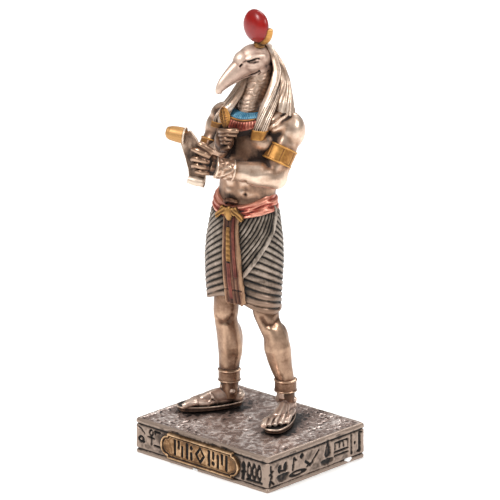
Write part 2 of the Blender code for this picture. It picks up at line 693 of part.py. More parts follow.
def make_plinth(group, tools, stone):
    plinth = block("plinth", (0, 0, PLINTH_HEIGHT / 2), (PLINTH_WIDTH, PLINTH_DEPTH, PLINTH_HEIGHT), group)
    rim = plinth.modifiers.new("edges", "BEVEL")
    rim.width = PLINTH_EDGE * MM
    rim.segments = 2
    join_to(plinth, [make_plate(tools)])
    cuts = []
    for z in (RIM_GROOVE_Z, FOOT_GROOVE_Z):
        outer = block("groove", (0, 0, z), (PLINTH_WIDTH + 4, PLINTH_DEPTH + 4, GROOVE_WIDTH), tools)
        inner = block("groove_core", (0, 0, z),
                      (PLINTH_WIDTH - 2 * GROOVE_DEPTH, PLINTH_DEPTH - 2 * GROOVE_DEPTH, 2.0), tools)
        join_to(outer, [inner], "DIFFERENCE")
        bay = block("groove_bay", (0, -PLINTH_DEPTH / 2, z), (PLATE_WIDTH + 1.0, 6.0, 2.0), tools)
        join_to(outer, [bay], "DIFFERENCE")
        cuts.append(outer)
    for turned in (False, True):
        half_length = (PLINTH_DEPTH if turned else PLINTH_WIDTH) / 2
        face = (PLINTH_WIDTH if turned else PLINTH_DEPTH) / 2
        for side in (-1, 1):
            skip = PLATE_WIDTH / 2 + 1.2 if side == -1 and not turned else 0.0
            for along, z, wide, tall in sign_strokes(half_length, skip):
                if turned:
                    centre, size = (side * face, along, z), (2 * STROKE_DEPTH, wide, tall)
                else:
                    centre, size = (along, side * face, z), (wide, 2 * STROKE_DEPTH, tall)
                cuts.append(block("sign", centre, size, tools))
    front = -PLINTH_DEPTH / 2 - PLATE_PROUD
    for i in range(11):
        along = -6.5 + 1.3 * i
        tall = (2.4, 1.2, 1.9)[i % 3]
        cuts.append(block("plate_stroke", (along, front, PLATE_Z), (0.4, 2 * STROKE_DEPTH, tall), tools))
    join_to(plinth, cuts, "DIFFERENCE")
    plinth.data.materials.append(stone)
    return plinth


def main():
    clear_scene()
    group = new_collection(OBJECT_NAME)
    tools = new_collection("cutters")
    bronze = new_material("cast_bronze_finish", (0.36, 0.24, 0.16), 0.8, 0.38)
    stone = new_material("dark_bronze_plinth", (0.14, 0.09, 0.06), 0.6, 0.5)
    make_figure(group, tools, bronze)
    make_plinth(group, tools, stone)


main()
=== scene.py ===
import math

import bpy
import numpy as np
from mathutils import Matrix, Vector
from mathutils.bvhtree import BVHTree


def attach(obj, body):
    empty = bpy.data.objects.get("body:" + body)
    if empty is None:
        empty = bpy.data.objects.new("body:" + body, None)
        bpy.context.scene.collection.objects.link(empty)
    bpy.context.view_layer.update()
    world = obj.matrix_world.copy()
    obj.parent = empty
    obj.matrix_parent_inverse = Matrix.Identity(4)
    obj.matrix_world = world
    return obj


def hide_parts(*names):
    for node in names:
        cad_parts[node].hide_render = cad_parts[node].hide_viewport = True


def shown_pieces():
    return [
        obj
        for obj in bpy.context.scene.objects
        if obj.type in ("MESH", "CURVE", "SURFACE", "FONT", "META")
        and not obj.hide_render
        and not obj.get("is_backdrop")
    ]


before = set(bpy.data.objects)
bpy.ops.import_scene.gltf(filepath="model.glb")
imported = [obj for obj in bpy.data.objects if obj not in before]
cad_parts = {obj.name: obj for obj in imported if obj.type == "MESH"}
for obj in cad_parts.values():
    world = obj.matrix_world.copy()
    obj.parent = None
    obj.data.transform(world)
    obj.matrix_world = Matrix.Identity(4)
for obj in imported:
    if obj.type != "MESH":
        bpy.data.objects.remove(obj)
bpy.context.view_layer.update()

# Pieces of the figure are modelled in millimetres in the figure's own frame, x to its left, y behind it,
# z up from the plinth, and are put in place at the end
figurePlace = Matrix.Translation((-0.003, 0.0045, 0.0072)) @ Matrix.Rotation(math.radians(12.0), 4, "Z")
mmToM = Matrix.Scale(0.001, 4)
plinthSize = {"width": 34.4, "depth": 27.6, "height": 7.2}

cameraSpot = {"azimuth": 42.6, "elevation": 17.8, "distance": 1.0, "aimHeight": 0.0414, "lens": 378.7}


def towards(azimuth, elevation):
    a, e = math.radians(azimuth), math.radians(elevation)
    return Vector((math.sin(a) * math.cos(e), -math.cos(a) * math.cos(e), math.sin(e)))


def addCamera():
    spot = cameraSpot
    aim = Vector((0.0, 0.0, spot["aimHeight"]))
    bpy.ops.object.camera_add(location=aim + towards(spot["azimuth"], spot["elevation"]) * spot["distance"])
    camera = bpy.context.object
    camera.name = "studioCamera"
    camera.rotation_euler = (aim - camera.location).to_track_quat("-Z", "Y").to_euler()
    camera.data.lens = spot["lens"]
    camera.data.sensor_width = 36.0
    camera.data.clip_start = 0.01
    bpy.context.scene.camera = camera
    return camera


def addLight(name, azimuth, elevation, distance, size, power, colour=(1.0, 1.0, 1.0)):
    aim = Vector((0.0, 0.0, 0.04))
    bpy.ops.object.light_add(type="AREA", location=aim + towards(azimuth, elevation) * distance)
    lamp = bpy.context.object
    lamp.name = name
    lamp.rotation_euler = (aim - lamp.location).to_track_quat("-Z", "Y").to_euler()
    lamp.data.shape = "DISK"
    lamp.data.size = size
    lamp.data.energy = power
    lamp.data.color = colour
    return lamp


def studioSky():
    # A pale ceiling over dim walls, so that upright metal darkens towards its edges
    world = bpy.context.scene.world or bpy.data.worlds.new("studio")
    bpy.context.scene.world = world
    world.use_nodes = True
    tree = world.node_tree
    ground = tree.nodes["Background"]
    way = node(tree, "ShaderNodeTexCoord").outputs["Generated"]
    parts = node(tree, "ShaderNodeSeparateXYZ", {}, in0=way)
    height = node(tree, "ShaderNodeMath", {"operation": "MULTIPLY_ADD"}, in0=parts.outputs["Z"], in1=0.5, in2=0.5)
    shades = ramp(tree, height.outputs[0], [(0.0, 0.4), (0.46, 0.12), (0.56, 0.12), (0.7, 0.42), (1.0, 0.75)])
    tree.links.new(shades.outputs["Color"], ground.inputs["Color"])
    ground.inputs["Strength"].default_value = 0.75


def addStudio():
    bpy.ops.mesh.primitive_plane_add(size=6.0, location=(0.0, 0.0, 0.0))
    floor = bpy.context.object
    floor.name = "floor"
    floor.data.materials.append(paleFloor())
    floor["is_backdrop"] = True
    studioSky()
    addLight("keyLight", -12.0, 50.0, 0.60, 0.24, 2.5)
    addLight("rightLight", 108.0, 34.0, 0.60, 0.20, 1.5)
    addLight("backLight", 200.0, 40.0, 0.60, 0.25, 1.0)
    bpy.context.scene.view_settings.view_transform = "Standard"


def linear(code):
    value = [int(code[i:i + 2], 16) / 255 for i in (1, 3, 5)]
    return tuple(c / 12.92 if c <= 0.04045 else ((c + 0.055) / 1.055) ** 2.4 for c in value) + (1.0,)


def node(tree, kind, settings=None, **links):
    made = tree.nodes.new(kind)
    for key, value in (settings or {}).items():
        if key in made.inputs and not hasattr(made, key):
            made.inputs[key].default_value = value
        else:
            setattr(made, key, value)
    for key, source in links.items():
        socket = made.inputs[int(key[2:])] if key.startswith("in") and key[2:].isdigit() else made.inputs[key]
        if isinstance(source, (int, float, tuple)):
            socket.default_value = source
        else:
            tree.links.new(source, socket)
    return made


def ramp(tree, source, stops):
    made = tree.nodes.new("ShaderNodeValToRGB")
    band = made.color_ramp
    while len(band.elements) < len(stops):
        band.elements.new(0.5)
    for element, (place, value) in zip(band.elements, stops):
        element.position = place
        element.color = value if isinstance(value, tuple) else (value, value, value, 1.0)
    tree.links.new(source, made.inputs["Fac"])
    return made


def castFinish(name, dark, middle, light, metallic, roughness, grainMm=0.5, grain=0.6, bumpMm=0.02,
               washAt=0.5, washReach=0.6, shadeBy=0.75, openAt=0.92, tint=None, tintBetween=(0.0, 1.0)):
    # Dark wash sits where the surface dips, and rubbed metal shows on the ridges; places shut in by other forms are
    # darkened as painted shade.
    # "relief" holds the height above what is round it: 0 in a hollow, 0.5 on the flat, 1 on a ridge.
    # "shade" holds how open a place is, for the painted shade: 0 deep in a corner, 1 in the open.
    material = bpy.data.materials.new(name)
    material.use_nodes = True
    tree = material.node_tree
    shader = tree.nodes["Principled BSDF"]
    place = node(tree, "ShaderNodeTexCoord").outputs["Object"]
    relief = node(tree, "ShaderNodeAttribute", {"attribute_name": "relief"}).outputs["Fac"]
    shade = node(tree, "ShaderNodeAttribute", {"attribute_name": "shade"}).outputs["Fac"]
    cloud = node(tree, "ShaderNodeTexNoise", {"Scale": 1000.0 / (grainMm * 5), "Detail": 6.0, "Roughness": 0.65},
                 Vector=place).outputs["Fac"]
    speck = node(tree, "ShaderNodeTexNoise", {"Scale": 1000.0 / grainMm, "Detail": 3.0}, Vector=place).outputs["Fac"]
    total = relief
    # The shade term paints shade into the colour, darker where a place is shut in
    for source, share, middleAt in ((cloud, grain, 0.5), (speck, grain * 0.4, 0.5), (shade, shadeBy, openAt)):
        part = node(tree, "ShaderNodeMath", {"operation": "MULTIPLY_ADD"}, in0=source, in1=share,
                    in2=-share * middleAt).outputs[0]
        total = node(tree, "ShaderNodeMath", {"operation": "ADD"}, in0=total, in1=part).outputs[0]
    low, high = max(washAt - washReach / 2, 0.0), min(washAt + washReach / 2, 1.0)
    colour = ramp(tree, total, [(low, linear(dark)), (washAt, linear(middle)), (high, linear(light))])
    tree.links.new(colour.outputs["Color"], shader.inputs["Base Color"])
    if tint:
        # The tint is strongest at the lower height and gone at the upper one, in millimetres
        height = node(tree, "ShaderNodeSeparateXYZ", {}, in0=place).outputs["Z"]
        share = node(tree, "ShaderNodeMapRange", {}, Value=height)
        share.inputs["From Min"].default_value = tintBetween[0] / 1000
        share.inputs["From Max"].default_value = tintBetween[1] / 1000
        share.inputs["To Min"].default_value = 1.0
        share.inputs["To Max"].default_value = 0.0
        blend = node(tree, "ShaderNodeMixRGB", {"blend_type": "MULTIPLY"}, Fac=share.outputs["Result"],
                     Color1=colour.outputs["Color"])
        blend.inputs["Color2"].default_value = linear(tint)
        tree.links.new(blend.outputs["Color"], shader.inputs["Base Color"])
    rough = ramp(tree, total, [(low, min(roughness + 0.35, 1.0)), (washAt, roughness)])
    tree.links.new(rough.outputs["Color"], shader.inputs["Roughness"])
    metal = ramp(tree, total, [(low, metallic * 0.2), (washAt, metallic)])
    tree.links.new(metal.outputs["Color"], shader.inputs["Metallic"])
    height = node(tree, "ShaderNodeBump", {"Strength": 0.7, "Distance": bumpMm / 1000}, Height=speck)
    tree.links.new(height.outputs["Normal"], shader.inputs["Normal"])
    return material


def paleFloor():
    material = bpy.data.materials.new("paleFloor")
    material.use_nodes = True
    shader = material.node_tree.nodes["Principled BSDF"]
    shader.inputs["Base Color"].default_value = linear("#FCFCFB")
    shader.inputs["Roughness"].default_value = 0.9
    shader.inputs["Emission Color"].default_value = (1.0, 1.0, 1.0, 1.0)
    shader.inputs["Emission Strength"].default_value = 0.3
    return material


finishes = {}


def makeFinishes():
    finishes["bronze"] = castFinish("castBronzeSkin", "#2A180E", "#AC8870", "#EED4BE", 0.8, 0.33, grain=0.4, shadeBy=0.5)
    finishes["legs"] = castFinish("castBronzeLegs", "#1E110A", "#6C4E3C", "#C09E84", 0.8, 0.33, grain=0.4, shadeBy=0.6)
    finishes["beak"] = castFinish("castBronzeBeak", "#1E120B", "#B29282", "#E6CCBA", 0.6, 0.44, grain=0.4, shadeBy=0.4)
    finishes["neck"] = castFinish("castBronzeNeck", "#24140C", "#B4947E", "#EED4C0", 0.7, 0.37, grain=0.4, shadeBy=0.12)
    finishes["hair"] = castFinish("castBronzeHair", "#22140C", "#A88C77", "#F2DCC8", 0.75, 0.36, washAt=0.52)
    finishes["strands"] = castFinish("castBronzeStrands", "#22140C", "#C4A892", "#F6E4D4", 0.7, 0.36, washAt=0.5, shadeBy=0.3)
    finishes["patina"] = castFinish("greyGreenKiltPatina", "#080403", "#64584C", "#B8A99C", 0.5, 0.42, shadeBy=0.7, washReach=0.52,
                                    tint="#AC8058", tintBetween=(26.0, 41.0))
    finishes["red"] = castFinish("rubbedRedPaint", "#2A0C08", "#8C3426", "#D89078", 0.4, 0.36, shadeBy=0.6)
    finishes["sashRed"] = castFinish("sashRedPaint", "#2A0C08", "#983C2A", "#E8A088", 0.45, 0.34, shadeBy=0.6)
    finishes["deepRed"] = castFinish("deepRedPaint", "#160504", "#4C1710", "#8C4C3C", 0.4, 0.4, shadeBy=0.6)
    finishes["paleGold"] = castFinish("paleGoldScroll", "#241207", "#84592C", "#C09058", 0.5, 0.48, shadeBy=0.6)
    finishes["gold"] = castFinish("goldPaint", "#241207", "#986630", "#D49C54", 0.65, 0.42, shadeBy=0.8)
    finishes["oldGold"] = castFinish("darkGoldPaint", "#1A0D06", "#6E4C2A", "#B98A50", 0.75, 0.4, shadeBy=0.8)
    finishes["blue"] = castFinish("bluePaint", "#0E1A22", "#2E7396", "#86BCD0", 0.1, 0.45, shadeBy=0.5)
    finishes["disc"] = castFinish("glossRedDisc", "#3A0404", "#7C0C0A", "#A01812", 0.0, 0.3, washReach=0.9)
    # One stone in two copies, painted light: the sides darker and the top lighter, as the light falls on them
    finishes["stone"] = castFinish("washedPlinthSidesPaintedDarker", "#0C0604", "#54453B", "#9E8A7C", 0.6, 0.38, shadeBy=0.6,
                                   washReach=0.5)
    finishes["rippled"] = castFinish("rippledPlinthTopPaintedLighter", "#140A06", "#967E74", "#F0E2DA", 0.6, 0.25, grainMm=0.3, shadeBy=0.7,
                                     washReach=0.36)
    finishes["sheet"] = castFinish("washedScrollSheet", "#1E120A", "#9C806C", "#E2CCB8", 0.55, 0.42, shadeBy=0.25)
    finishes["strap"] = castFinish("castBronzeSandal", "#140C07", "#7E6353", "#E0C8B4", 0.8, 0.34, shadeBy=0.6)
    finishes["collar"] = castFinish("castBronzeCollar", "#24140C", "#9C7A62", "#EED4BE", 0.8, 0.34, grain=0.4, shadeBy=0.2)
    # The feet take a lighter copy of the bronze: painted light where little light reaches them
    finishes["feet"] = castFinish("castBronzeFeet", "#160C07", "#AE9080", "#F2DCCA", 0.75, 0.35, grain=0.5, shadeBy=0.22)
    finishes["plate"] = castFinish("nameplateGold", "#160B06", "#7A5838", "#DAB48C", 0.8, 0.34, shadeBy=0.6, washReach=0.5)
    finishes["apron"] = castFinish("apronBronze", "#1E100A", "#664436", "#A88468", 0.75, 0.38, shadeBy=0.6)
    finishes["resin"] = castFinish("bareWhiteResin", "#C9C6C2", "#F4F2F0", "#FFFFFF", 0.0, 0.6, shadeBy=0.1)


def useOnly(item):
    bpy.ops.object.select_all(action="DESELECT")
    item.select_set(True)
    bpy.context.view_layer.objects.active = item


def applyPlace(item):
    useOnly(item)
    bpy.ops.object.transform_apply(location=True, rotation=True, scale=True)
    return item


def applyModifier(item, name, kind, **settings):
    useOnly(item)
    modifier = item.modifiers.new(name, kind)
    for key, value in settings.items():
        setattr(modifier, key, value)
    bpy.ops.object.modifier_apply(modifier=name)


def mix(start, end, share):
    return tuple(a + (b - a) * share for a, b in zip(start, end))


def ball(centre, radii, aim=None, segments=32):
    bpy.ops.object.select_all(action="DESELECT")
    bpy.ops.mesh.primitive_uv_sphere_add(segments=segments, ring_count=segments // 2, radius=1.0,
                                         location=tuple(centre))
    item = bpy.context.object
    if aim is not None:
        item.rotation_euler = Vector(aim).to_track_quat("X", "Z").to_euler()
    item.scale = radii
    return applyPlace(item)


def tube(stations, sides=24, steps=8):
    bpy.ops.object.select_all(action="DESELECT")
    bpy.ops.curve.primitive_bezier_curve_add(location=(0.0, 0.0, 0.0))
    item = bpy.context.object
    curve = item.data
    curve.bevel_depth = 1.0
    curve.bevel_resolution = (sides - 4) // 2
    curve.use_fill_caps = True
    curve.resolution_u = steps
    points = curve.splines[0].bezier_points
    points.add(len(stations) - 2)
    for knot, (point, radius) in zip(points, stations):
        knot.co = point
        knot.radius = radius
        knot.handle_left_type = "AUTO"
        knot.handle_right_type = "AUTO"
    bpy.ops.object.convert(target="MESH")
    bpy.ops.object.mode_set(mode="EDIT")
    bpy.ops.mesh.select_all(action="SELECT")
    bpy.ops.mesh.remove_doubles(threshold=0.0001)
    bpy.ops.mesh.normals_make_consistent(inside=False)
    bpy.ops.object.mode_set(mode="OBJECT")
    return bpy.context.object


def grid(rows, closedAround=True, caps=True):
    rows = np.asarray(rows, dtype=float)
    tall, wide = rows.shape[:2]
    index = np.arange(tall * wide).reshape(tall, wide)
    nextOne = np.roll(index, -1, axis=1)
    if not closedAround:
        index, nextOne = index[:, :-1], nextOne[:, :-1]
    faces = np.stack([index[:-1], nextOne[:-1], nextOne[1:], index[1:]], axis=-1).reshape(-1, 4).tolist()
    if caps and closedAround:
        faces.append(list(range(wide - 1, -1, -1)))
        faces.append(list(range((tall - 1) * wide, tall * wide)))
    mesh = bpy.data.meshes.new("grid")
    mesh.from_pydata(rows.reshape(-1, 3).tolist(), [], faces)
    item = bpy.data.objects.new("grid", mesh)
    bpy.context.scene.collection.objects.link(item)
    useOnly(item)
    if caps:
        bpy.ops.object.mode_set(mode="EDIT")
        bpy.ops.mesh.select_all(action="SELECT")
        bpy.ops.mesh.normals_make_consistent(inside=False)
        bpy.ops.object.mode_set(mode="OBJECT")
    return item


def joined(forms):
    bpy.ops.object.select_all(action="DESELECT")
    for form in forms:
        form.select_set(True)
    bpy.context.view_layer.objects.active = forms[0]
    bpy.ops.object.join()
    return bpy.context.object


def moulded(forms, voxel, rounds=3):
    # Overlapping forms become one skin, as clay pressed together, then softened
    item = joined(forms)
    applyModifier(item, "skin", "REMESH", mode="VOXEL", voxel_size=voxel, use_smooth_shade=True)
    applyModifier(item, "soften", "SMOOTH", factor=0.5, iterations=rounds)
    keepLargest(item)
    return item


def keepLargest(item):
    # Small closed bubbles shut in between two forms are taken away
    ends = edgeEnds(item)
    label = np.arange(len(item.data.vertices))
    while True:
        low = np.minimum(label[ends[:, 0]], label[ends[:, 1]])
        fresh = label.copy()
        np.minimum.at(fresh, ends[:, 0], low)
        np.minimum.at(fresh, ends[:, 1], low)
        fresh = fresh[fresh]
        if np.array_equal(fresh, label):
            break
        label = fresh
    names, counts = np.unique(label, return_counts=True)
    if len(names) < 2:
        return
    stray = label != names[counts.argmax()]
    useOnly(item)
    bpy.ops.object.mode_set(mode="EDIT")
    bpy.ops.mesh.select_all(action="DESELECT")
    bpy.ops.object.mode_set(mode="OBJECT")
    item.data.vertices.foreach_set("select", stray)
    bpy.ops.object.mode_set(mode="EDIT")
    bpy.ops.mesh.select_mode(type="VERT")
    bpy.ops.mesh.delete(type="VERT")
    bpy.ops.object.mode_set(mode="OBJECT")


def edgeEnds(item):
    ends = np.empty(len(item.data.edges) * 2, dtype=np.int64)
    item.data.edges.foreach_get("vertices", ends)
    return ends.reshape(-1, 2)


def points(item):
    spots = np.empty(len(item.data.vertices) * 3)
    item.data.vertices.foreach_get("co", spots)
    return spots.reshape(-1, 3)


def setPoints(item, spots):
    item.data.vertices.foreach_set("co", np.ascontiguousarray(spots).ravel())
    item.data.update()


def normals(item):
    out = np.empty(len(item.data.vertices) * 3)
    item.data.vertices.foreach_get("normal", out)
    return out.reshape(-1, 3)


def recalculate(item):
    useOnly(item)
    bpy.ops.object.mode_set(mode="EDIT")
    bpy.ops.mesh.select_all(action="SELECT")
    bpy.ops.mesh.normals_make_consistent(inside=False)
    bpy.ops.object.mode_set(mode="OBJECT")


def averaged(ends, values, rounds, share=0.5):
    count = len(values)
    weight = np.bincount(ends.ravel(), minlength=count).astype(float)
    weight[weight == 0] = 1.0
    values = values.copy()
    for _ in range(rounds):
        total = np.empty_like(values)
        for k in range(values.shape[1]):
            column = values[:, k]
            total[:, k] = (np.bincount(ends[:, 0], column[ends[:, 1]], count)
                           + np.bincount(ends[:, 1], column[ends[:, 0]], count))
        values += (total / weight[:, None] - values) * share
    return values


def addRelief(item, fineMm=0.10, broadMm=0.35, fineRounds=10, broadRounds=60):
    # Height above the smoothed surroundings at two scales, kept for the dark wash and the rubbed ridges
    spots, ends, up = points(item), edgeEnds(item), normals(item)
    near = averaged(ends, spots, fineRounds)
    far = averaged(ends, near, broadRounds)
    fine = ((spots - near) * up).sum(axis=1) / fineMm
    broad = ((near - far) * up).sum(axis=1) / broadMm
    height = 0.5 + 0.28 * np.clip(fine, -1.2, 1.2) + 0.22 * np.clip(broad, -1.2, 1.2)
    height = averaged(ends, height[:, None], 1)[:, 0]
    layer = item.data.attributes.new("relief", "FLOAT", "POINT")
    layer.data.foreach_set("value", np.clip(height, 0.0, 1.0))


def stroke(item, path, width, depth):
    # Pushes the surface in (depth > 0) or out along a path, with a soft round profile
    spots = points(item)
    up = normals(item)
    best = np.full(len(spots), 1e9)
    path = [np.asarray(p, dtype=float) for p in path]
    if len(path) == 1:
        best = np.linalg.norm(spots - path[0], axis=1)
    for a, b in zip(path, path[1:]):
        along = b - a
        share = np.clip(((spots - a) @ along) / max(along @ along, 1e-12), 0.0, 1.0)
        best = np.minimum(best, np.linalg.norm(spots - (a + share[:, None] * along), axis=1))
    spots -= up * (depth * np.exp(-(best / width) ** 2))[:, None]
    setPoints(item, spots)


def seenAt(tree, u, v):
    # The point of a piece that shows at a place in the 500 x 500 frame, in the figure's millimetres
    toLocal = (figurePlace @ mmToM).inverted()
    spot = cameraSpot
    aim = Vector((0.0, 0.0, spot["aimHeight"]))
    eye = aim + towards(spot["azimuth"], spot["elevation"]) * spot["distance"]
    forward = (aim - eye).normalized()
    right = forward.cross(Vector((0.0, 0.0, 1.0))).normalized()
    upward = right.cross(forward)
    half = 18.0 / spot["lens"]
    ray = (forward + right * ((u - 250.0) / 250.0 * half) - upward * ((v - 250.0) / 250.0 * half)).normalized()
    start = toLocal @ (eye + ray * 0.9)
    way = (toLocal.to_3x3() @ ray).normalized()
    hit = tree.ray_cast(start, way)
    return hit[0]


def atDepth(u, v, y):
    # The place in the figure's millimetres that shows at (u, v) in the 500 x 500 frame and lies at depth y
    x = ((u - 253.9) / 5.26 - 0.509 * y) / 0.861
    return (x, y, ((412.8 - v) / 5.26 - 0.305 * (0.861 * y - 0.509 * x)) / 0.952)


def pickTree(item):
    mesh = item.data
    return BVHTree.FromPolygons([v.co for v in mesh.vertices], [p.vertices for p in mesh.polygons])


def dense(places, steps=6):
    # More places along a drawn line, so that the cut keeps to a curved surface
    line = [places[0]]
    for a, b in zip(places, places[1:]):
        line += [mix(a, b, k / steps) for k in range(1, steps + 1)]
    return line


def traced(item, places, width, depth, tree=None):
    tree = tree or pickTree(item)
    path = [seenAt(tree, u, v) for u, v in places]
    stroke(item, [p for p in path if p is not None], width, depth)


def roughNoise(x, y, size, seed):
    # Smooth value noise from a seeded lattice, with features about this many millimetres across
    lattice = np.random.default_rng(seed).uniform(-1.0, 1.0, (96, 96))
    u, v = x / size + 48.0, y / size + 48.0
    i, j = np.floor(u).astype(int) % 95, np.floor(v).astype(int) % 95
    fu, fv = u - np.floor(u), v - np.floor(v)
    fu, fv = fu * fu * (3 - 2 * fu), fv * fv * (3 - 2 * fv)
    low = lattice[i, j] * (1 - fu) + lattice[i + 1, j] * fu
    high = lattice[i, j + 1] * (1 - fu) + lattice[i + 1, j + 1] * fu
    return low * (1 - fv) + high * fv


def finished(item, name, finish, carrier, smooth=True, relief=True, place=None):
    item.name = name
    item.data.name = name
    if len(item.data.polygons) > 6000:
        # Fewer triangles than the moulding leaves
        applyModifier(item, "thin", "DECIMATE", ratio=0.55, use_collapse_triangulate=True)
    if relief is not False:
        addRelief(item, **(relief if isinstance(relief, dict) else {}))
    item.data.transform((place or figurePlace) @ mmToM)
    item.data.materials.clear()
    item.data.materials.append(finishes[finish])
    for polygon in item.data.polygons:
        polygon.use_smooth = smooth
    item.data.update()
    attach(item, "root")
    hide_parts(carrier)
    print(name, len(item.data.polygons), "faces")
    return item


joints = {
    "rightHip": (-5.6, -0.4, 33.5), "rightKnee": (-5.76, -0.9, 20.2), "rightCalf": (-5.9, 0.3, 12.4),
    "rightAnkle": (-5.24, -0.62, 6.7),
    "leftHip": (1.8, -0.8, 33.5), "leftKnee": (4.0, -2.5, 21.1), "leftCalf": (5.5, -0.9, 13.8),
    "leftAnkle": (7.2, -0.4, 6.8),
    "leftShoulder": (6.77, 1.49, 57.5), "leftElbow": (5.92, -2.5, 48.7), "leftWrist": (-1.14, -8.5, 50.65),
    "leftPalm": (-3.6, -9.9, 51.6),
    "rightShoulder": (-8.23, 1.49, 55.6), "rightElbow": (-9.5, -1.6, 48.7), "rightWrist": (-4.2, -4.9, 53.9),
    "rightFist": (-2.61, -5.8, 55.5),
    "rightHeel": (-3.4, 1.45), "leftHeel": (6.8, 2.0),
}
footTurn = {"right": math.radians(-44.9), "left": math.radians(15.0)}
sandal = {"gap": 0.3, "thick": 0.9, "length": 13.2, "halfWidth": 2.7}
headAt = {"centre": (-0.9, 1.1, 70.0), "turn": math.radians(-32.0)}
discAt = {"centre": (0.0, 0.62, 76.75), "turn": math.radians(-20.0), "radius": 3.2, "thick": 3.4}


def headPoint(forward, side, up):
    s, c = math.sin(headAt["turn"]), math.cos(headAt["turn"])
    cx, cy, cz = headAt["centre"]
    return (cx + forward * s + side * c, cy - forward * c + side * s, cz + up)


def footPoint(which, along, across, up):
    heel, turn = joints[which + "Heel"], footTurn[which]
    return (heel[0] + along * math.sin(turn) + across * math.cos(turn),
            heel[1] - along * math.cos(turn) + across * math.sin(turn), up)


def oval(z, cx, cy, a, b, count):
    angle = np.linspace(0.0, 2 * math.pi, count, endpoint=False)
    return np.stack([cx + a * np.cos(angle), cy + b * np.sin(angle), np.full(count, z)], axis=1)


bodyStrokes = [
    # Creases between muscles, as places in the 500 x 500 frame, with width and depth in millimetres
    ([(266, 129), (273.5, 125.6), (282.6, 118.6), (291, 112.5)], 0.3, -0.5),
    ([(268, 125.5), (274.5, 121.8), (283, 115.2)], 0.25, 0.22),
    ([(269, 131.5), (275.5, 128.2), (284, 121.4), (291, 116)], 0.3, 0.2),
    ([(245, 182), (245, 188), (245, 193)], 0.5, 0.16),
    ([(241, 198), (248, 199.5), (256, 198)], 0.5, 0.14),
    ([(245, 195)], 0.4, 0.3),
    ([(283, 124), (280, 133), (276, 142)], 0.8, 0.22),
    ([(293, 121), (291, 131), (289, 142)], 0.7, 0.12),
    ([(268, 166), (262, 170), (252, 172)], 0.7, 0.14),
    ([(284, 170), (276, 176), (262, 180)], 0.9, 0.14),
    ([(292, 158), (287, 166), (280, 172)], 0.7, 0.12),
]


def makeBody():
    sections = [(36.0, -1.93, -0.4, 6.4, 5.1), (41.0, -1.8, -0.2, 5.9, 4.7), (44.5, -1.6, 0.1, 5.7, 4.5),
                (48.0, -1.3, 0.6, 6.1, 4.6), (52.0, -1.0, 1.0, 6.8, 4.8), (55.5, -0.8, 1.3, 7.2, 4.6),
                (58.5, -0.7, 1.6, 6.6, 4.1), (60.8, -0.7, 1.7, 4.2, 3.0)]
    forms = [grid([oval(z, cx, cy, a, b, 64) for z, cx, cy, a, b in sections])]
    for side, shoulder in ((-1, joints["rightShoulder"]), (1, joints["leftShoulder"])):
        forms.append(ball((-0.8 + 3.1 * side, -1.9, 54.9), (3.3, 1.45, 2.3)))
        forms.append(ball((-0.8 + 5.6 * side, 0.2, 54.6), (1.6, 2.4, 3.6)))
        forms.append(tube([((-0.7, 1.8, 61.2), 2.5), (mix(shoulder, (-0.7, 1.8, 60.5), 0.35), 2.6), (shoulder, 2.6)]))
        for row, (z, y) in enumerate(((51.3, -3.3), (49.0, -3.5), (46.8, -3.75), (44.9, -3.8))):
            forms.append(ball((-1.25 - 0.08 * row + 1.25 * side, y, z), (1.25, 0.6, 1.2), segments=20))
    forms.append(ball((-7.2, 1.3, 57.9), (3.0, 2.6, 2.7)))
    forms.append(ball((5.3, 0.1, 58.8), (2.6, 3.2, 2.4)))
    for side in ("left", "right"):
        shoulder, elbow, wrist = (Vector(joints[side + part]) for part in ("Shoulder", "Elbow", "Wrist"))
        big = 1.0 if side == "left" else 0.96
        out = Vector((1.0, 0.0, 0.0)) if side == "left" else Vector((-1.0, 0.0, 0.0))
        forms.append(ball(shoulder + out * 0.15 - Vector((0, 0, 0.5)), (2.95, 3.05, 3.7)))
        forms.append(tube([(shoulder, 2.6), (mix(shoulder, elbow, 0.5), 2.65 * big), (elbow, 2.25 * big)]))
        forms.append(ball(Vector(mix(shoulder, elbow, 0.6)) + Vector((0, -0.4, 0.3)), (2.1, 2.1, 3.2)))
        forms.append(tube([(elbow, 2.3 * big), (mix(elbow, wrist, 0.35), 2.45 * big), (mix(elbow, wrist, 0.75), 1.9),
                           (wrist, 1.6)]))
        forms.append(ball(elbow + Vector((0, 0.3, -0.1)), (2.4 * big, 2.3 * big, 2.45 * big)))
    body = moulded(forms, 0.2, rounds=18)
    tree = pickTree(body)
    for path, width, depth in bodyStrokes:
        traced(body, path, width, depth, tree)
    return finished(body, "torsoAndArms", "bronze", "figure", relief={"broadMm": 0.3})


legShape = {
    # Stations down each leg from the kilt to the ankle: place in the 500 x 500 frame, depth, half width in mm
    "right": [(229, 262, -0.8, 2.5), (226, 296, -0.9, 2.5), (225.1, 312, -0.9, 2.45), (225.1, 319, -0.9, 2.22),
              (227.0, 330.5, -0.5, 2.28), (229.2, 345, 0.1, 2.44), (229.5, 353, 0.3, 2.36), (228.6, 362, 0.1, 2.13),
              (228.3, 371.5, -0.3, 1.95), (228.6, 384, -0.6, 1.8), (229.0, 400, -0.6, 1.7)],
    "left": [(262, 275, -0.4, 2.3), (264, 300, -0.8, 2.4), (265.6, 312, -1.3, 2.55), (268.2, 322, -1.6, 2.2),
             (273.8, 335, -1.6, 2.15), (277.0, 348, -1.1, 2.6), (279.0, 358, -0.9, 2.42), (281.0, 367, -0.7, 2.15),
             (284.5, 379, -0.5, 1.8), (285.6, 392, -0.4, 1.75), (286.0, 405, -0.4, 1.7)],
}


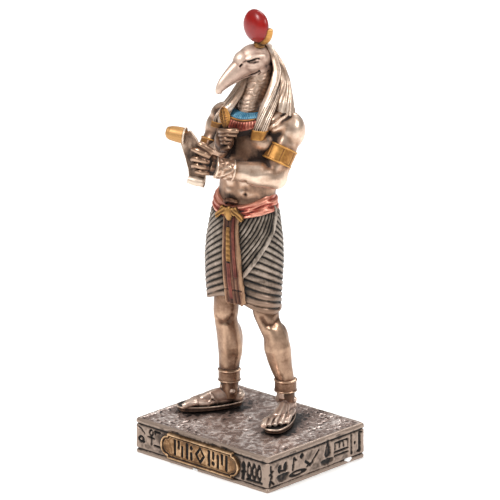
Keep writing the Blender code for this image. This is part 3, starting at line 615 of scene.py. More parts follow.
legStrokes = [
    # Kneecaps, the ridge of the shin and the edges of the calves
    ([(216, 317), (221, 322), (228, 322), (232, 316)], 0.6, 0.22),
    ([(225, 325), (225, 345), (226, 366)], 0.6, -0.16),
    ([(232, 324), (234, 340), (234, 356)], 0.9, 0.18),
    ([(262, 319), (267, 325), (274, 325), (278, 319)], 0.6, 0.22),
    ([(270, 330), (274, 348), (280, 372)], 0.6, -0.16),
    ([(279, 328), (284, 344), (286, 360)], 0.9, 0.18),
]


def makeLegs():
    forms = []
    for side in ("right", "left"):
        line = [(Vector(atDepth(u, v, y)), radius) for u, v, y, radius in legShape[side]]
        forms.append(tube(line))
        toes = Vector(footPoint(side, 10.0, 0.0, 0.0)) - Vector(footPoint(side, 0.0, 0.0, 0.0))
        toes.normalize()
        shin = toes * 0.35 + Vector((0.0, -0.65, 0.0))
        shin.normalize()
        knee, calf, ankle = line[2][0], line[5][0], line[8][0]
        forms.append(ball(knee + shin * 1.6 - Vector((0, 0, 0.5)), (1.3, 0.95, 1.35)))
        forms.append(ball(calf - shin * 0.75 + Vector((0, 0, 0.6)), (1.95, 2.1, 4.2)))
        forms.append(tube([(knee + shin * 1.2 - Vector((0, 0, 1.6)), 1.0), (calf + shin * 1.45, 0.95),
                           (ankle + shin * 0.9, 0.9)], sides=16))
    legs = joined(forms)
    applyModifier(legs, "skin", "REMESH", mode="VOXEL", voxel_size=0.18, use_smooth_shade=True)
    applyModifier(legs, "soften", "SMOOTH", factor=0.5, iterations=22)
    tree = pickTree(legs)
    for path, width, depth in legStrokes:
        traced(legs, path, width, depth, tree)
    return finished(legs, "legs", "legs", "figure", relief={"broadMm": 0.25})


footStrokes = {
    # The thin strap round the right instep, the hollow of its arch, and the tendons and ankle crease of the left foot
    "right": [([(210, 393.5), (213.5, 398), (217, 403), (219.5, 408)], 0.24, -0.3),
              ([(212.5, 397), (209.5, 401), (208, 406)], 0.22, -0.22),
              ([(221, 405), (226, 404.5), (231, 407)], 0.8, 0.25)],
    "left": [([(284, 404), (281, 411), (276, 420)], 0.25, -0.16), ([(286.5, 405), (285, 413), (281, 423)], 0.25, -0.16),
             ([(289, 405), (288.5, 413), (286.5, 423)], 0.25, -0.16), ([(280, 400.5), (286, 402), (292, 400.5)], 0.3, 0.14)],
}


def makeFoot(which):
    top = sandal["gap"] + sandal["thick"] - 0.1
    ankle = joints[which + "Ankle"]
    outward = 1 if which == "left" else -1
    forms = [tube([((ankle[0], ankle[1], 5.6), 1.75), ((ankle[0], ankle[1], 3.0), 1.68)])]
    forms.append(ball(footPoint(which, 1.3, 0.0, top + 1.1), (1.6, 1.6, 1.5)))
    forms.append(tube([(footPoint(which, 1.9, 0.0, top + 1.7), 1.65), (footPoint(which, 4.4, -0.1 * outward, top + 1.35), 1.5),
                       (footPoint(which, 6.9, -0.2 * outward, top + 0.95), 1.35),
                       (footPoint(which, 8.6, -0.3 * outward, top + 0.6), 1.1)]))
    along = Vector(footPoint(which, 1, 0, 0)) - Vector(footPoint(which, 0, 0, 0))
    forms.append(ball(footPoint(which, 7.9, 0.0, top + 0.55), (2.9, 2.35, 0.98), aim=along))
    forms.append(ball(footPoint(which, 4.6, 0.3 * outward, top + 0.6), (3.4, 1.85, 1.0), aim=along))
    for side in (-1, 1):
        forms.append(ball((ankle[0] + 1.45 * side * math.cos(footTurn[which]),
                           ankle[1] + 1.45 * side * math.sin(footTurn[which]) + 0.2, top + 2.6), (0.7, 0.7, 0.7)))
    for i in range(5):
        across = outward * (-1.85 + 0.96 * i)
        reach = 12.5 - 0.36 * i - 0.1 * i * i
        radius = 0.68 if i == 0 else 0.53 - 0.02 * i
        forms.append(tube([(footPoint(which, reach - 2.9, across * 0.94, top + 0.85), radius * 0.9),
                           (footPoint(which, reach - 1.7, across, top + 0.85), radius),
                           (footPoint(which, reach - 0.6, across, top + 0.5), radius),
                           (footPoint(which, reach, across, top + 0.35), radius * 0.75)], sides=16, steps=4))
    foot = moulded(forms, 0.1, rounds=2)
    for i in range(4):
        across = outward * (-1.85 + 0.96 * (i + 0.5))
        reach = 12.1 - 0.4 * i - 0.1 * i * i
        gap = [footPoint(which, reach - 2.0, across * 0.97, top + 1.4), footPoint(which, reach - 1.0, across, top + 1.1),
               footPoint(which, reach, across, top + 0.7)]
        stroke(foot, gap, 0.15, 0.16)
    for i in range(1, 4):
        across = outward * (-1.85 + 0.96 * i)
        ridge = [footPoint(which, 8.2, across * 0.95, top + 1.5), footPoint(which, 6.4, across * 0.6, top + 2.4),
                 footPoint(which, 4.6, across * 0.35, top + 3.2)]
        stroke(foot, ridge, 0.32, -0.15)
    tree = pickTree(foot)
    for path, width, depth in footStrokes[which]:
        traced(foot, path, width, depth, tree)
    # Lighter bronze than the legs, painted light on the feet
    return finished(foot, which + "Foot", "feet", "figure", relief={"fineMm": 0.08, "broadMm": 0.25})


handFingers = [
    # Thumb, then index to little finger of the left hand: place in the frame and depth, from root to tip
    ([(213, 153.5, -10.6), (207, 149.8, -11.1), (202.5, 146.6, -11.5), (199, 144.6, -11.5)], 0.66),
    ([(209, 157.5, -11.0), (203, 154.5, -11.9), (197.5, 151.6, -12.2), (192.5, 149.8, -11.9)], 0.62),
    ([(208, 163.0, -11.0), (202, 161.0, -12.0), (196, 159.6, -12.3), (192.0, 160.2, -11.8)], 0.62),
    ([(208, 168.5, -10.9), (202, 167.2, -11.9), (196.5, 166.0, -12.1), (192.5, 166.6, -11.6)], 0.6),
    ([(208.5, 173.5, -10.8), (203.5, 173.0, -11.6), (199.0, 172.2, -11.8), (196.0, 172.4, -11.4)], 0.54),
]


handStrokes = [
    # Tendons on the back of the left hand, and the shut gaps between its fingers
    ([(205, 153), (214, 158), (222, 162)], 0.3, -0.12),
    ([(204, 159), (213, 163), (221, 166)], 0.3, -0.12),
    ([(204, 165), (212, 168), (220, 170)], 0.3, -0.1),
    ([(200, 158), (207, 160.5)], 0.3, 0.2),
    ([(200, 164), (207, 166)], 0.3, 0.2),
]


def makeHands():
    palm, wrist = Vector(joints["leftPalm"]), Vector(joints["leftWrist"])
    forms = [ball(palm + Vector((-0.1, 0.0, -0.1)), (2.5, 1.15, 2.1), aim=palm - wrist),
             tube([(wrist, 1.6), (palm, 1.55)])]
    for path, radius in handFingers:
        line = [(atDepth(u, v, y), radius * shrink) for (u, v, y), shrink in zip(path, (1.0, 1.06, 0.95, 0.8))]
        forms.append(tube(line, sides=16, steps=6))
    left = moulded(forms, 0.1, rounds=3)
    tree = pickTree(left)
    for path, width, depth in handStrokes:
        traced(left, path, width, depth, tree)
    # The darker leg bronze gives the hand its heavy wash and also painted shade for the shade it sits in
    finished(left, "leftHand", "legs", "figure", relief={"fineMm": 0.1, "broadMm": 0.3})
    forms = [ball((-3.2, -5.8, 55.4), (2.0, 1.5, 2.1)), tube([(joints["rightWrist"], 1.6), (joints["rightFist"], 1.5)])]
    for u0, u1, v, radius in ((219.5, 237.5, 132.0, 0.5), (219.5, 236.0, 135.9, 0.4), (220.0, 231.5, 139.9, 0.4),
                              (220.5, 230.0, 143.8, 0.38)):
        line = [atDepth(u0, v, -6.7), atDepth(u0 + 3.5, v - 0.3, -7.4), atDepth(u1 - 4.0, v, -7.3), atDepth(u1, v + 0.3, -6.6)]
        forms.append(tube([(spot, radius) for spot in line], sides=16, steps=6))
    forms.append(tube([(atDepth(222, 150, -6.6), 0.6), (atDepth(226, 149.5, -7.2), 0.5),
                       (atDepth(229.6, 147.5, -7.3), 0.42)], sides=16))
    # The darker leg bronze here too: heavy wash and painted shade
    finished(moulded(forms, 0.09, rounds=1), "rightHand", "legs", "figure", relief={"fineMm": 0.1, "broadMm": 0.3})


headStrokes = [
    # The mouth, eye, brow and nostril on the near side, drawn again on the far side
    ([(258.6, 72.2), (255, 73.9), (245, 77.6), (236.3, 82.0), (228.8, 86.6), (223.5, 91.0)], 0.2, 0.34),
    ([(259.5, 71.2), (260.5, 73.0), (259.0, 74.6)], 0.2, 0.22),
    ([(248.8, 61.6), (252, 60.2), (255.5, 58.8), (259, 58.8)], 0.24, 0.34),
    ([(250.0, 62.8), (254, 63.2), (258, 62.0)], 0.2, 0.28),
    ([(252.0, 61.6), (255.5, 60.8)], 0.32, 0.26),
    ([(256.8, 60.5), (257.4, 60.2)], 0.26, -0.26),
    ([(247.5, 59.6), (252, 57.2), (257, 55.8), (264, 55.6)], 0.34, -0.26),
    ([(240.2, 66.3), (241.8, 64.9)], 0.22, 0.36),
    ([(243.5, 62.5), (246.8, 60.8), (249, 61.6)], 0.25, 0.2),
    ([(247, 66), (252, 66.7), (258, 65.6)], 0.3, 0.07),
    ([(262, 60), (266, 64), (267.5, 69)], 0.4, 0.08),
    ([(262, 76), (266, 74.5), (269, 71)], 0.3, 0.16),
]


def makeHead():
    gaze = Vector(headPoint(1, 0, 0)) - Vector(headAt["centre"])
    side = np.array([math.cos(headAt["turn"]), math.sin(headAt["turn"]), 0.0])
    centre = np.array(headAt["centre"])
    beak = [(0.6, -0.9, 2.35), (2.5, -1.45, 2.2), (4.2, -2.45, 1.85), (5.6, -3.4, 1.45), (6.7, -4.4, 1.12),
            (7.3, -5.3, 0.8), (7.35, -5.9, 0.6)]
    nose = tube([(headPoint(f, 0, u), r) for f, u, r in beak])
    spots = points(nose)
    off = (spots - centre) @ side
    setPoints(nose, spots - side * (off * 0.25)[:, None])
    forms = [ball(headPoint(-0.2, 0, 0.0), (3.5, 2.65, 2.95), aim=gaze), nose,
             ball(headPoint(1.9, 0, -0.1), (2.3, 1.9, 2.1), aim=gaze),
             ball(headPoint(-1.1, 0, -1.75), (2.8, 2.4, 2.2), aim=gaze)]
    head = moulded(forms, 0.12, rounds=22)
    tree = pickTree(head)
    for path, width, depth in headStrokes:
        seen = [np.array(p) for p in (seenAt(tree, u, v) for u, v in dense(path)) if p is not None]
        stroke(head, seen, width, depth)
        stroke(head, [p - 2 * ((p - centre) @ side) * side for p in seen], width, depth)
    finished(head, "ibisHead", "beak", "figure", relief={"fineMm": 0.07, "broadMm": 0.22})
    neck = moulded([tube([(headPoint(-2.0, 0, -1.6), 1.8), ((0.0, 1.9, 66.3), 2.1), ((-0.6, 0.95, 63.0), 2.15),
                          ((-1.1, 0.3, 60.0), 2.5), ((-0.9, 0.6, 58.0), 3.3)])], 0.12, rounds=4)
    spots, up = points(neck), normals(neck)
    # Uneven wrinkles round the neck
    around = np.arctan2(spots[:, 1] - 0.9, spots[:, 0] + 0.6)
    loose = roughNoise(around * 2.5, spots[:, 2], 1.1, 21)
    fall = spots[:, 2] / 0.8 + 0.35 * np.sin(around * 2 + 1.0) + 0.5 * loose
    feather = 0.07 * np.abs(np.sin(fall * math.pi)) ** 0.7 - 0.04
    feather += 0.06 * roughNoise(around * 2.2, spots[:, 2] * 0.7, 0.8, 22)
    fade = np.clip((68.0 - spots[:, 2]) / 2.0, 0.0, 1.0)
    setPoints(neck, spots + up * (feather * fade)[:, None])
    finished(neck, "neck", "neck", "figure", relief={"fineMm": 0.08, "broadMm": 0.25})


wigPaths = {
    # Middle line of each front lappet from its gold end up to the crown, and the lock that falls on each shoulder
    "left": [(3.1, -3.85, 56.27), (3.4, -3.7, 57.3), (3.95, -3.0, 60.07), (4.17, -1.6, 62.6), (4.17, -0.3, 64.2),
             (4.05, 1.3, 66.35), (3.65, 2.7, 68.26), (2.4, 3.35, 70.67), (1.2, 3.1, 72.76)],
    "right": [(-5.7, -3.6, 57.4), (-5.1, -3.5, 59.3), (-4.0, -2.7, 61.3), (-3.0, -0.5, 63.4), (-2.1, 1.5, 66.5),
              (-1.4, 2.8, 68.5), (-0.7, 3.1, 71.0), (0.2, 3.1, 72.8)],
    "leftLock": [(60.2, 5.8, 0.9, 1.9), (62.7, 5.3, 1.5, 1.8), (66.2, 4.4, 2.9, 1.35), (69.0, 3.1, 4.0, 0.85),
                 (71.0, 2.2, 3.8, 0.4), (72.5, 1.0, 3.5, 0.1)],
    "rightLock": [(60.2, -5.9, 1.4, 1.85), (62.7, -3.9, 2.2, 1.5), (66.2, -3.0, 3.2, 1.2), (69.0, -1.6, 4.2, 0.85),
                  (71.0, -0.7, 4.0, 0.4), (72.5, 0.3, 3.6, 0.1)],
}


def lappetForm(path, sign, widthScale=1.0, thick=0.95, strands=7):
    path = np.array(path, dtype=float)
    share = np.linspace(0.0, 1.0, 130)
    knots = np.linspace(0.0, 1.0, len(path))
    line = np.stack([np.interp(share, knots, path[:, k]) for k in range(3)], axis=1)
    for _ in range(12):
        line[1:-1] = 0.5 * line[1:-1] + 0.25 * (line[:-2] + line[2:])
    turn = np.linspace(0.0, 2 * math.pi, 180, endpoint=False)
    rows = []
    for place in line:
        z = place[2]
        # Flat on the chest, turned to the side of the head higher up
        lean = sign * math.radians(np.interp(z, (56, 58.2, 60.5, 63.5, 66.6, 68.6, 73), (12, 14, 35, 66, 88, 98, 100)))
        width = widthScale * np.interp(z, (56, 57, 58, 60, 62, 64, 68, 73), (1.2, 1.35, 1.42, 1.45, 1.5, 1.45, 1.2, 0.5))
        deep = thick * np.interp(z, (56, 68, 73), (1.0, 0.75, 0.45))
        across = np.sign(np.cos(turn)) * np.abs(np.cos(turn)) ** 0.6
        out = np.sign(np.sin(turn)) * np.abs(np.sin(turn)) ** 0.5 * deep
        drift = 0.25 * math.sin(z * 0.55 + sign) + 0.12 * math.sin(z * 1.3)
        comb = np.abs(np.sin((across * 0.5 + 0.5) * math.pi * strands + drift)) ** 0.7 - 0.6
        clump = np.abs(np.sin((across * 0.5 + 0.5) * math.pi * 2.0 - 0.4 * drift)) - 0.6
        out += (0.2 * comb + 0.12 * clump) * (out > 0) * min(width / 1.2, 1.0) * (strands > 0)
        side = np.array([math.cos(lean), math.sin(lean), 0.0])
        ahead = np.array([math.sin(lean), -math.cos(lean), 0.0])
        rows.append(place + np.outer(across * width, side) + np.outer(out, ahead))
    form = grid(rows)
    recalculate(form)
    return form


def hoodRadius(angle, centre, halfA, halfB, turned, lock):
    # Distance from the middle line to the outside of the hair: an oval, with a round lock beside it
    round1 = 1.0 / np.sqrt((np.cos(angle - turned) / halfA) ** 2 + (np.sin(angle - turned) / halfB) ** 2)
    gapX, gapY, radius = lock[0] - centre[0], lock[1] - centre[1], lock[2]
    ahead = gapX * np.cos(angle) + gapY * np.sin(angle)
    aside = gapX ** 2 + gapY ** 2 - ahead ** 2
    far = ahead + np.sqrt(np.maximum(radius ** 2 - aside, 0.0))
    far = np.where((aside < radius ** 2) & (ahead > 0), far, 0.1)
    return (round1 ** 8 + far ** 8) ** 0.125


def makeWig():
    # Height, centre, half width, half depth and turn of the hood, from the shoulders to the crown
    table = np.array([(57.0, -0.4, 4.4, 6.0, 2.0, 0), (60.0, -0.4, 4.1, 7.3, 2.9, 0), (62.7, -0.3, 4.2, 6.25, 3.1, -4),
                      (66.6, 0.3, 4.5, 4.75, 2.8, -20), (70.0, 0.98, 4.12, 2.7, 1.85, -32), (71.2, 0.9, 3.98, 2.4, 1.5, -32),
                      (72.3, 0.74, 3.73, 1.8, 1.0, -32), (73.0, 0.58, 3.45, 0.9, 0.4, -32)])
    table[:, 2] -= 1.0
    columns, levels = 250, 115
    share = np.linspace(0.0, 1.0, columns)
    halves = []
    for sign, side in ((1, "left"), (-1, "right")):
        path = np.array(wigPaths[side])
        lock = np.array(wigPaths[side + "Lock"])
        foot = np.interp(share, (0.0, 0.12, 0.3, 0.6, 1.0), (61.6, 61.2, 60.0, 58.4, 57.4))
        foot = foot + 0.14 * np.sin(share * 70.0)
        sheet = []
        for t in np.linspace(0.0, 1.0, levels):
            z = foot + (73.0 - foot) * t
            cx, cy, halfA, halfB, turned = (np.interp(z, table[:, 0], table[:, k]) for k in range(1, 6))
            px, py = (np.interp(z, path[:, 2], path[:, k]) for k in (0, 1))
            lx, ly, lr = (np.interp(z, lock[:, 0], lock[:, k]) for k in (1, 2, 3))
            front = np.arctan2(py - cy, px - cx)
            if side == "right":
                front = np.where(front < 0, front + 2 * math.pi, front)
            back = np.radians(np.interp(z, (57, 66, 70, 73), (90, 80, 62, 58)))
            angle = front + share * (back - front)
            radius = hoodRadius(angle, (cx, cy), halfA, halfB, np.radians(turned), (lx, ly, lr))
            length = np.abs(back - front) * radius
            drift = 0.5 * np.sin(z * 0.45 + share * 5.0) + 0.3 * np.sin(z * 1.1 + share * 11.0)
            room = np.clip(length / 26 / 0.4, 0.2, 1.0)
            comb = (np.abs(np.sin(share * math.pi * 26 + drift)) ** 0.7 - 0.6) * 0.14 * room
            clump = (np.abs(np.sin(share * math.pi * 7 + 0.5 * drift)) ** 0.7 - 0.6) * 0.14 * np.clip(length / 6, 0.2, 1.0)
            out = radius + comb + clump
            sheet.append((np.stack([cx + out * np.cos(angle), cy + out * np.sin(angle), z], axis=1),
                          np.stack([cx + 0.4 * radius * np.cos(angle), cy + 0.4 * radius * np.sin(angle), z], axis=1)))
        halves.append(sheet)
    rows = []
    for leftRow, rightRow in zip(*halves):
        rows.append(np.concatenate([leftRow[0], rightRow[0][-2::-1], rightRow[1][::8], leftRow[1][-2::-8]]))
    hood = grid(rows)
    recalculate(hood)
    finished(hood, "wigHood", "hair", "figure", relief={"fineMm": 0.07, "broadMm": 0.2})
    for sign, side in ((1, "left"), (-1, "right")):
        finished(lappetForm(wigPaths[side], sign), side + "Lappet", "strands", "figure", relief={"fineMm": 0.05, "broadMm": 0.2})
        end, above = wigPaths[side][0], mix(wigPaths[side][0], wigPaths[side][2 if side == "left" else 1], 0.42)
        tip = lappetForm([(end[0], end[1], end[2] - 0.12), mix(end, above, 0.5), above], sign, 1.1, 1.3, 0)
        finished(tip, side + "LappetBand", "gold", "figure")


kiltShape = {
    "sections": [(20.0, -1.9, -0.6, 7.4, 5.85), (22.9, -1.9, -0.6, 7.45, 5.9), (26.0, -1.95, -0.6, 7.7, 6.1),
                 (31.0, -1.95, -0.5, 7.95, 6.2), (35.0, -1.9, -0.4, 7.7, 6.0), (40.3, -1.8, -0.3, 6.85, 5.4),
                 (41.5, -1.75, -0.25, 6.4, 5.1), (42.3, -1.75, -0.25, 5.9, 4.8)],
    "wrapEdge": [(27.6, -84.0), (29.3, -70.0), (33.7, -45.0), (37.6, -20.0), (41.4, -3.0), (44.0, 3.0)],
    "apronAngle": -84.0, "pleatMm": 1.1, "upperPleatMm": 0.72, "depth": 0.38, "bandMm": 0.75, "bandProud": 0.16,
    "top": 42.3,
}


def kiltHem(angle):
    front = (angle + 90.0 + 180.0) % 360.0 - 180.0
    return 21.9 - 0.6 * np.cos(np.radians(angle)) + 2.8 * np.exp(-(np.radians(front) / 0.7) ** 2)


def groove(phase):
    # A rounded pleat with a narrow dark groove on each side, from 0 in the groove to 1 on its back
    off = np.abs((phase % 1.0) - 0.5) * 2
    return 1.0 - off ** 3.2


def makeKilt():
    shape = kiltShape
    table = np.array(shape["sections"])
    wrap = np.array(shape["wrapEdge"])
    angle = np.linspace(-180.0, 180.0, 620, endpoint=False)
    hem = kiltHem(angle)
    # The hollow under the hem comes first, so that the cloth has an edge
    rows = []
    for inward, rise in ((1.6, 2.6), (1.1, 2.4), (0.9, 0.3)):
        cx, cy, a, b = (np.interp(hem, table[:, 0], table[:, k]) for k in range(1, 5))
        rows.append(np.stack([cx + (a - inward) * np.cos(np.radians(angle)), cy + (b - inward) * np.sin(np.radians(angle)),
                              hem + rise], axis=1))
    for share in np.linspace(0.0, 1.0, 145):
        z = hem + (shape["top"] - hem) * share
        cx, cy, a, b = (np.interp(z, table[:, 0], table[:, k]) for k in range(1, 5))
        edge = np.interp(z, wrap[:, 0], wrap[:, 1])
        radius = (a + b) / 2
        ahead = np.maximum(30.6 - angle, 0.0)
        lower = (z + 0.051 * ahead) / (1 + 0.004 * ahead)
        behind = np.maximum(angle + 149.0, 0.0)
        rightSide = (z + 0.027 * behind) / (1 + 0.0035 * behind)
        # Distance to the wrapped-over edge, measured square to it
        slope = np.interp(z, wrap[:, 0], np.gradient(wrap[:, 1], wrap[:, 0]))
        gap = (angle - edge) * np.pi / 180 * radius
        square = gap / np.sqrt(1 + (np.pi / 180 * radius * slope) ** 2)
        upper = groove(square / shape["upperPleatMm"])
        under = groove(lower / shape["pleatMm"])
        right = groove(rightSide / shape["pleatMm"])
        inUpper = (square < 0) & (angle > shape["apronAngle"]) & (z > 27.4)
        onRight = angle <= shape["apronAngle"]
        fold = np.where(inUpper, upper, np.where(onRight, right, under)) * shape["depth"]
        onBand = (square >= 0) & (square < shape["bandMm"]) & (z > 27.4) & (angle > shape["apronAngle"])
        fold = np.where(onBand, shape["depth"] + shape["bandProud"], fold)
        fold = np.where(inUpper, fold - 0.12, fold)
        thigh = 1.45 * np.exp(-((angle + 36.0) / 27.0) ** 2) * np.clip((28.0 - z) / 4.0, 0.0, 1.0)
        onHem = (z - hem < 0.5 + 0.12 * np.sin(np.radians(angle) * 9))
        fold = np.where(onHem, shape["depth"] + 0.02, fold)
        fold = fold - 0.25 + thigh
        ray = np.radians(angle)
        rows.append(np.stack([cx + (a + fold) * np.cos(ray), cy + (b + fold) * np.sin(ray), z], axis=1))
    kilt = grid(rows)
    return finished(kilt, "kilt", "patina", "figure", relief={"fineMm": 0.1, "broadMm": 0.3})


def makeSash():
    count = 260
    angle = np.linspace(0.0, 2 * math.pi, count, endpoint=False)
    front = np.maximum(0.0, -np.sin(angle)) ** 2
    low, high = 41.1 - 0.9 * front, 44.5 - 2.1 * front
    rows = []
    for share in np.linspace(0.0, 1.0, 48):
        z = low + (high - low) * share
        edge = math.sin(share * math.pi) ** 0.35
        fold = 0.15 * np.sin(share * 13 + 1.5 * np.sin(angle * 3) + 1.2 * np.cos(angle * 5))
        fold += 0.06 * np.sin(share * 31 + 2.0 * np.sin(angle * 2 + 1.0))
        proud = 0.1 + 0.35 * edge + fold * edge
        a = 6.05 - 0.25 * (z - 42.0) + proud
        b = 4.95 - 0.2 * (z - 42.0) + proud
        rows.append(np.stack([-1.75 + a * np.cos(angle), -0.25 + b * np.sin(angle), z], axis=1))
    finished(grid(rows), "sash", "sashRed", "figure")
    # The tucked knot left of the buckle
    knot = moulded([ball(atDepth(230, 200.7, -5.2), (1.2, 0.4, 0.55)), ball(atDepth(225.5, 201, -5.1), (0.6, 0.35, 0.6)),
                    ball(atDepth(234.5, 202, -5.1), (0.6, 0.35, 0.5))], 0.1, rounds=2)
    finished(knot, "sashKnot", "apron", "figure", relief={"fineMm": 0.06})


def makeApron():
    stations = np.array([(41.7, -1.72, -5.6, 1.52), (37.5, -1.55, -6.35, 1.6), (33.0, -1.2, -6.75, 1.85),
                         (28.0, -0.7, -6.9, 2.0), (23.6, -0.1, -6.7, 2.05)])[::-1]
    heights = np.linspace(23.6, 41.7, 150)
    x, y, half = (np.interp(heights, stations[:, 0], stations[:, k]) for k in (1, 2, 3))
    across = np.linspace(-1.0, 1.0, 90)
    rows = []
    for z, cx, cy, h in zip(heights, x, y, half):
        fold = 0.16 * np.abs(np.cos(across * math.pi * 2.5 + 0.25 * math.sin(z * 0.8))) ** 0.8
        tassel = 0.1 * np.abs(np.cos(across * math.pi * 8)) * float(z < 26.2) - 0.14 * float(26.2 < z < 26.5)
        face = cy - 0.22 - fold - tassel
        frontEdge = np.stack([cx + across * h, face, z - 0.25 * np.cos(across * 9.0) * float(z < 23.7)], axis=1)
        backEdge = np.stack([cx - across * h * 0.98, np.full(90, cy + 1.6), np.full(90, z)], axis=1)
        rows.append(np.concatenate([frontEdge, backEdge]))
    finished(grid(rows), "apron", "apron", "figure")
    for name, finish, low, high, begin, end, beads in (
            ("apronRedBand", "deepRed", 0.24, 0.6, 29.0, 41.2, 0.0), ("apronRedEdge", "deepRed", -0.5, -0.1, 24.6, 31.5, 0.0),
            ("apronChain", "oldGold", -0.5, 0.02, 32.0, 38.5, 0.09)):
        rows = []
        for z in np.linspace(begin, end, 130):
            cx, cy, h = (np.interp(z, stations[:, 0], stations[:, k]) for k in (1, 2, 3))
            share = np.linspace(low, high, 16)
            round1 = np.sin(np.linspace(0.0, math.pi, 16)) ** 0.4
            proud = 0.36 + 0.12 * round1 + beads * abs(math.sin(z * 3.4)) * round1
            rows.append(np.concatenate([
                np.stack([cx + share * h, cy - proud, np.full(16, z)], axis=1),
                np.stack([cx + share[::-1] * h, np.full(16, cy + 0.5), np.full(16, z)], axis=1)]))
        finished(grid(rows), name, finish, "figure")


def slabFrom(outline, thick):
    back = [(x, y + thick / 2, z) for x, y, z in outline]
    face = [(x, y - thick / 2, z) for x, y, z in outline]
    return grid([back, face])


def makeBuckle():
    # Wings to both sides, a small body, a ring with a hole below it and a tail
    forms = [ball((-1.9, -6.2, 41.2), (0.95, 0.7, 1.5))]
    for side in (-1, 1):
        wing = [(-1.9 + 0.3 * side, -6.3, 42.3), (-1.9 + 1.5 * side, -6.25, 42.65), (-1.9 + 3.1 * side, -6.0, 40.5),
                (-1.9 + 2.7 * side, -6.1, 39.9), (-1.9 + 1.5 * side, -6.2, 41.1), (-1.9 + 0.5 * side, -6.3, 40.7)]
        forms.append(slabFrom(wing, 0.9))
    turn = np.linspace(0.0, 2 * math.pi, 17)
    forms.append(tube([((-1.9 + 0.62 * math.cos(t), -6.95, 39.1 + 0.62 * math.sin(t)), 0.24) for t in turn], sides=12))
    forms.append(tube([((-1.9, -6.9, 38.4), 0.5), ((-1.8, -7.0, 37.0), 0.62), ((-1.65, -7.05, 35.6), 0.45)]))
    buckle = moulded(forms, 0.08, rounds=2)
    spots, up = points(buckle), normals(buckle)
    # Feather lines on the wings and short bars down the tail
    reach = np.abs(spots[:, 0] + 1.9)
    lines = 0.07 * np.sin((reach * 0.7 + spots[:, 2] - 41.0) * math.pi / 0.42)
    bars = 0.05 * np.sin(spots[:, 2] * math.pi / 0.3)
    setPoints(buckle, spots + up * np.where(reach > 0.75, lines, np.where(spots[:, 2] < 38.3, bars, 0.0))[:, None])
    finished(buckle, "wingedBuckle", "oldGold", "figure", relief={"fineMm": 0.07, "broadMm": 0.3})


def collarRing(angle, share, lift=0.0):
    side = np.abs(np.cos(angle)) ** 1.5
    drop = 3.6 - 0.5 * side
    high = 60.4 + 0.3 * side
    tilt = 1.4 * np.cos(angle) * share
    a = 3.1 + (5.1 + lift) * math.sin(share * math.pi / 2)
    b = 3.0 + (2.9 + lift) * math.sin(share * math.pi / 2)
    return np.stack([-0.75 + a * np.cos(angle), 1.4 + b * np.sin(angle),
                     high - drop * share ** 1.5 * (1.0 - 0.75 * side) + tilt * 0.5 + lift * 0.5], axis=1)


def makeCollar():
    angle = np.linspace(0.0, 2 * math.pi, 320, endpoint=False)
    rings = []
    for share in np.linspace(0.0, 1.0, 70):
        rim = 0.5 * math.exp(-((share - 0.94) / 0.05) ** 2) + 0.12 * math.exp(-((share - 0.04) / 0.04) ** 2)
        ring = collarRing(angle, share)
        rings.append(ring + np.stack([np.zeros(320), np.zeros(320), np.full(320, rim)], axis=1))
    under = [rings[-1] - np.array([0.0, 0.0, 0.8]), rings[0] - np.array([0.0, 0.0, 0.8])]
    finished(grid(rings + under + [rings[0]], caps=False), "collarBase", "collar", "figure")
    parts = [("collarNeckLine", 0.02, 0.1, "gold", 0), ("collarBlueRow", 0.11, 0.47, "blue", 46),
             ("collarGoldRow", 0.48, 0.56, "gold", 0), ("collarRedRow", 0.57, 0.93, "red", 40)]
    front = np.linspace(math.radians(-134), math.radians(-48), 260)
    for name, start, end, finish, teeth in parts:
        rows = []
        for share in np.linspace(start, end, 26):
            edge = 1.0 - abs(2 * (share - start) / (end - start) - 1) ** 6
            notch = 0.09 * (np.abs(np.sin(front * teeth)) < 0.3) if teeth else np.zeros(260)
            lift = np.outer((0.16 - notch) * edge, np.array([0.0, -0.6, 1.0]))
            rows.append(collarRing(front, share, 0.02) + lift)
        shell = grid(rows, closedAround=False, caps=False)
        applyModifier(shell, "wall", "SOLIDIFY", thickness=0.35, offset=1.0)
        recalculate(shell)
        finished(shell, name, finish, "figure", relief={"fineMm": 0.05})


def band(name, start, end, radius, finish, rim=0.16, panels=0, bumps=0.0):
    # A ring round a limb with a raised line at each edge, and panels or bumps between
    start, end = Vector(start), Vector(end)
    axis = (end - start).normalized()
    side = axis.cross(Vector((0.31, 0.2, 0.93))).normalized()
    other = axis.cross(side)
    turn = np.linspace(0.0, 2 * math.pi, 200, endpoint=False)
    circle = np.outer(np.cos(turn), side) + np.outer(np.sin(turn), other)
    tall = (end - start).length
    rows = [np.array(start) + circle * (radius - 1.0)]
    for share in np.linspace(0.0, 1.0, 44):
        along = share * tall
        edge = min(along, tall - along)
        lift = rim * math.exp(-((edge - 0.22) / 0.16) ** 2) - 0.3 * max(0.0, 1 - edge / 0.14) ** 2
        inside = 1.0 if edge > 0.5 else 0.0
        pattern = np.zeros(200)
        if panels:
            pattern = -0.12 * inside * (np.abs(np.sin(turn * panels / 2)) < 0.16)
        if bumps:
            pattern = bumps * inside * (roughNoise(turn * 2.0, np.full(200, along), 0.42, 61)
                                        + 0.6 * np.sin(turn * 9 + along * 3.5))
        rows.append(np.array(start + axis * along) + circle * (radius + lift + pattern)[:, None])
    rows.append(np.array(end) + circle * (radius - 1.0))
    return finished(grid(rows), name, finish, "figure", relief={"fineMm": 0.08})


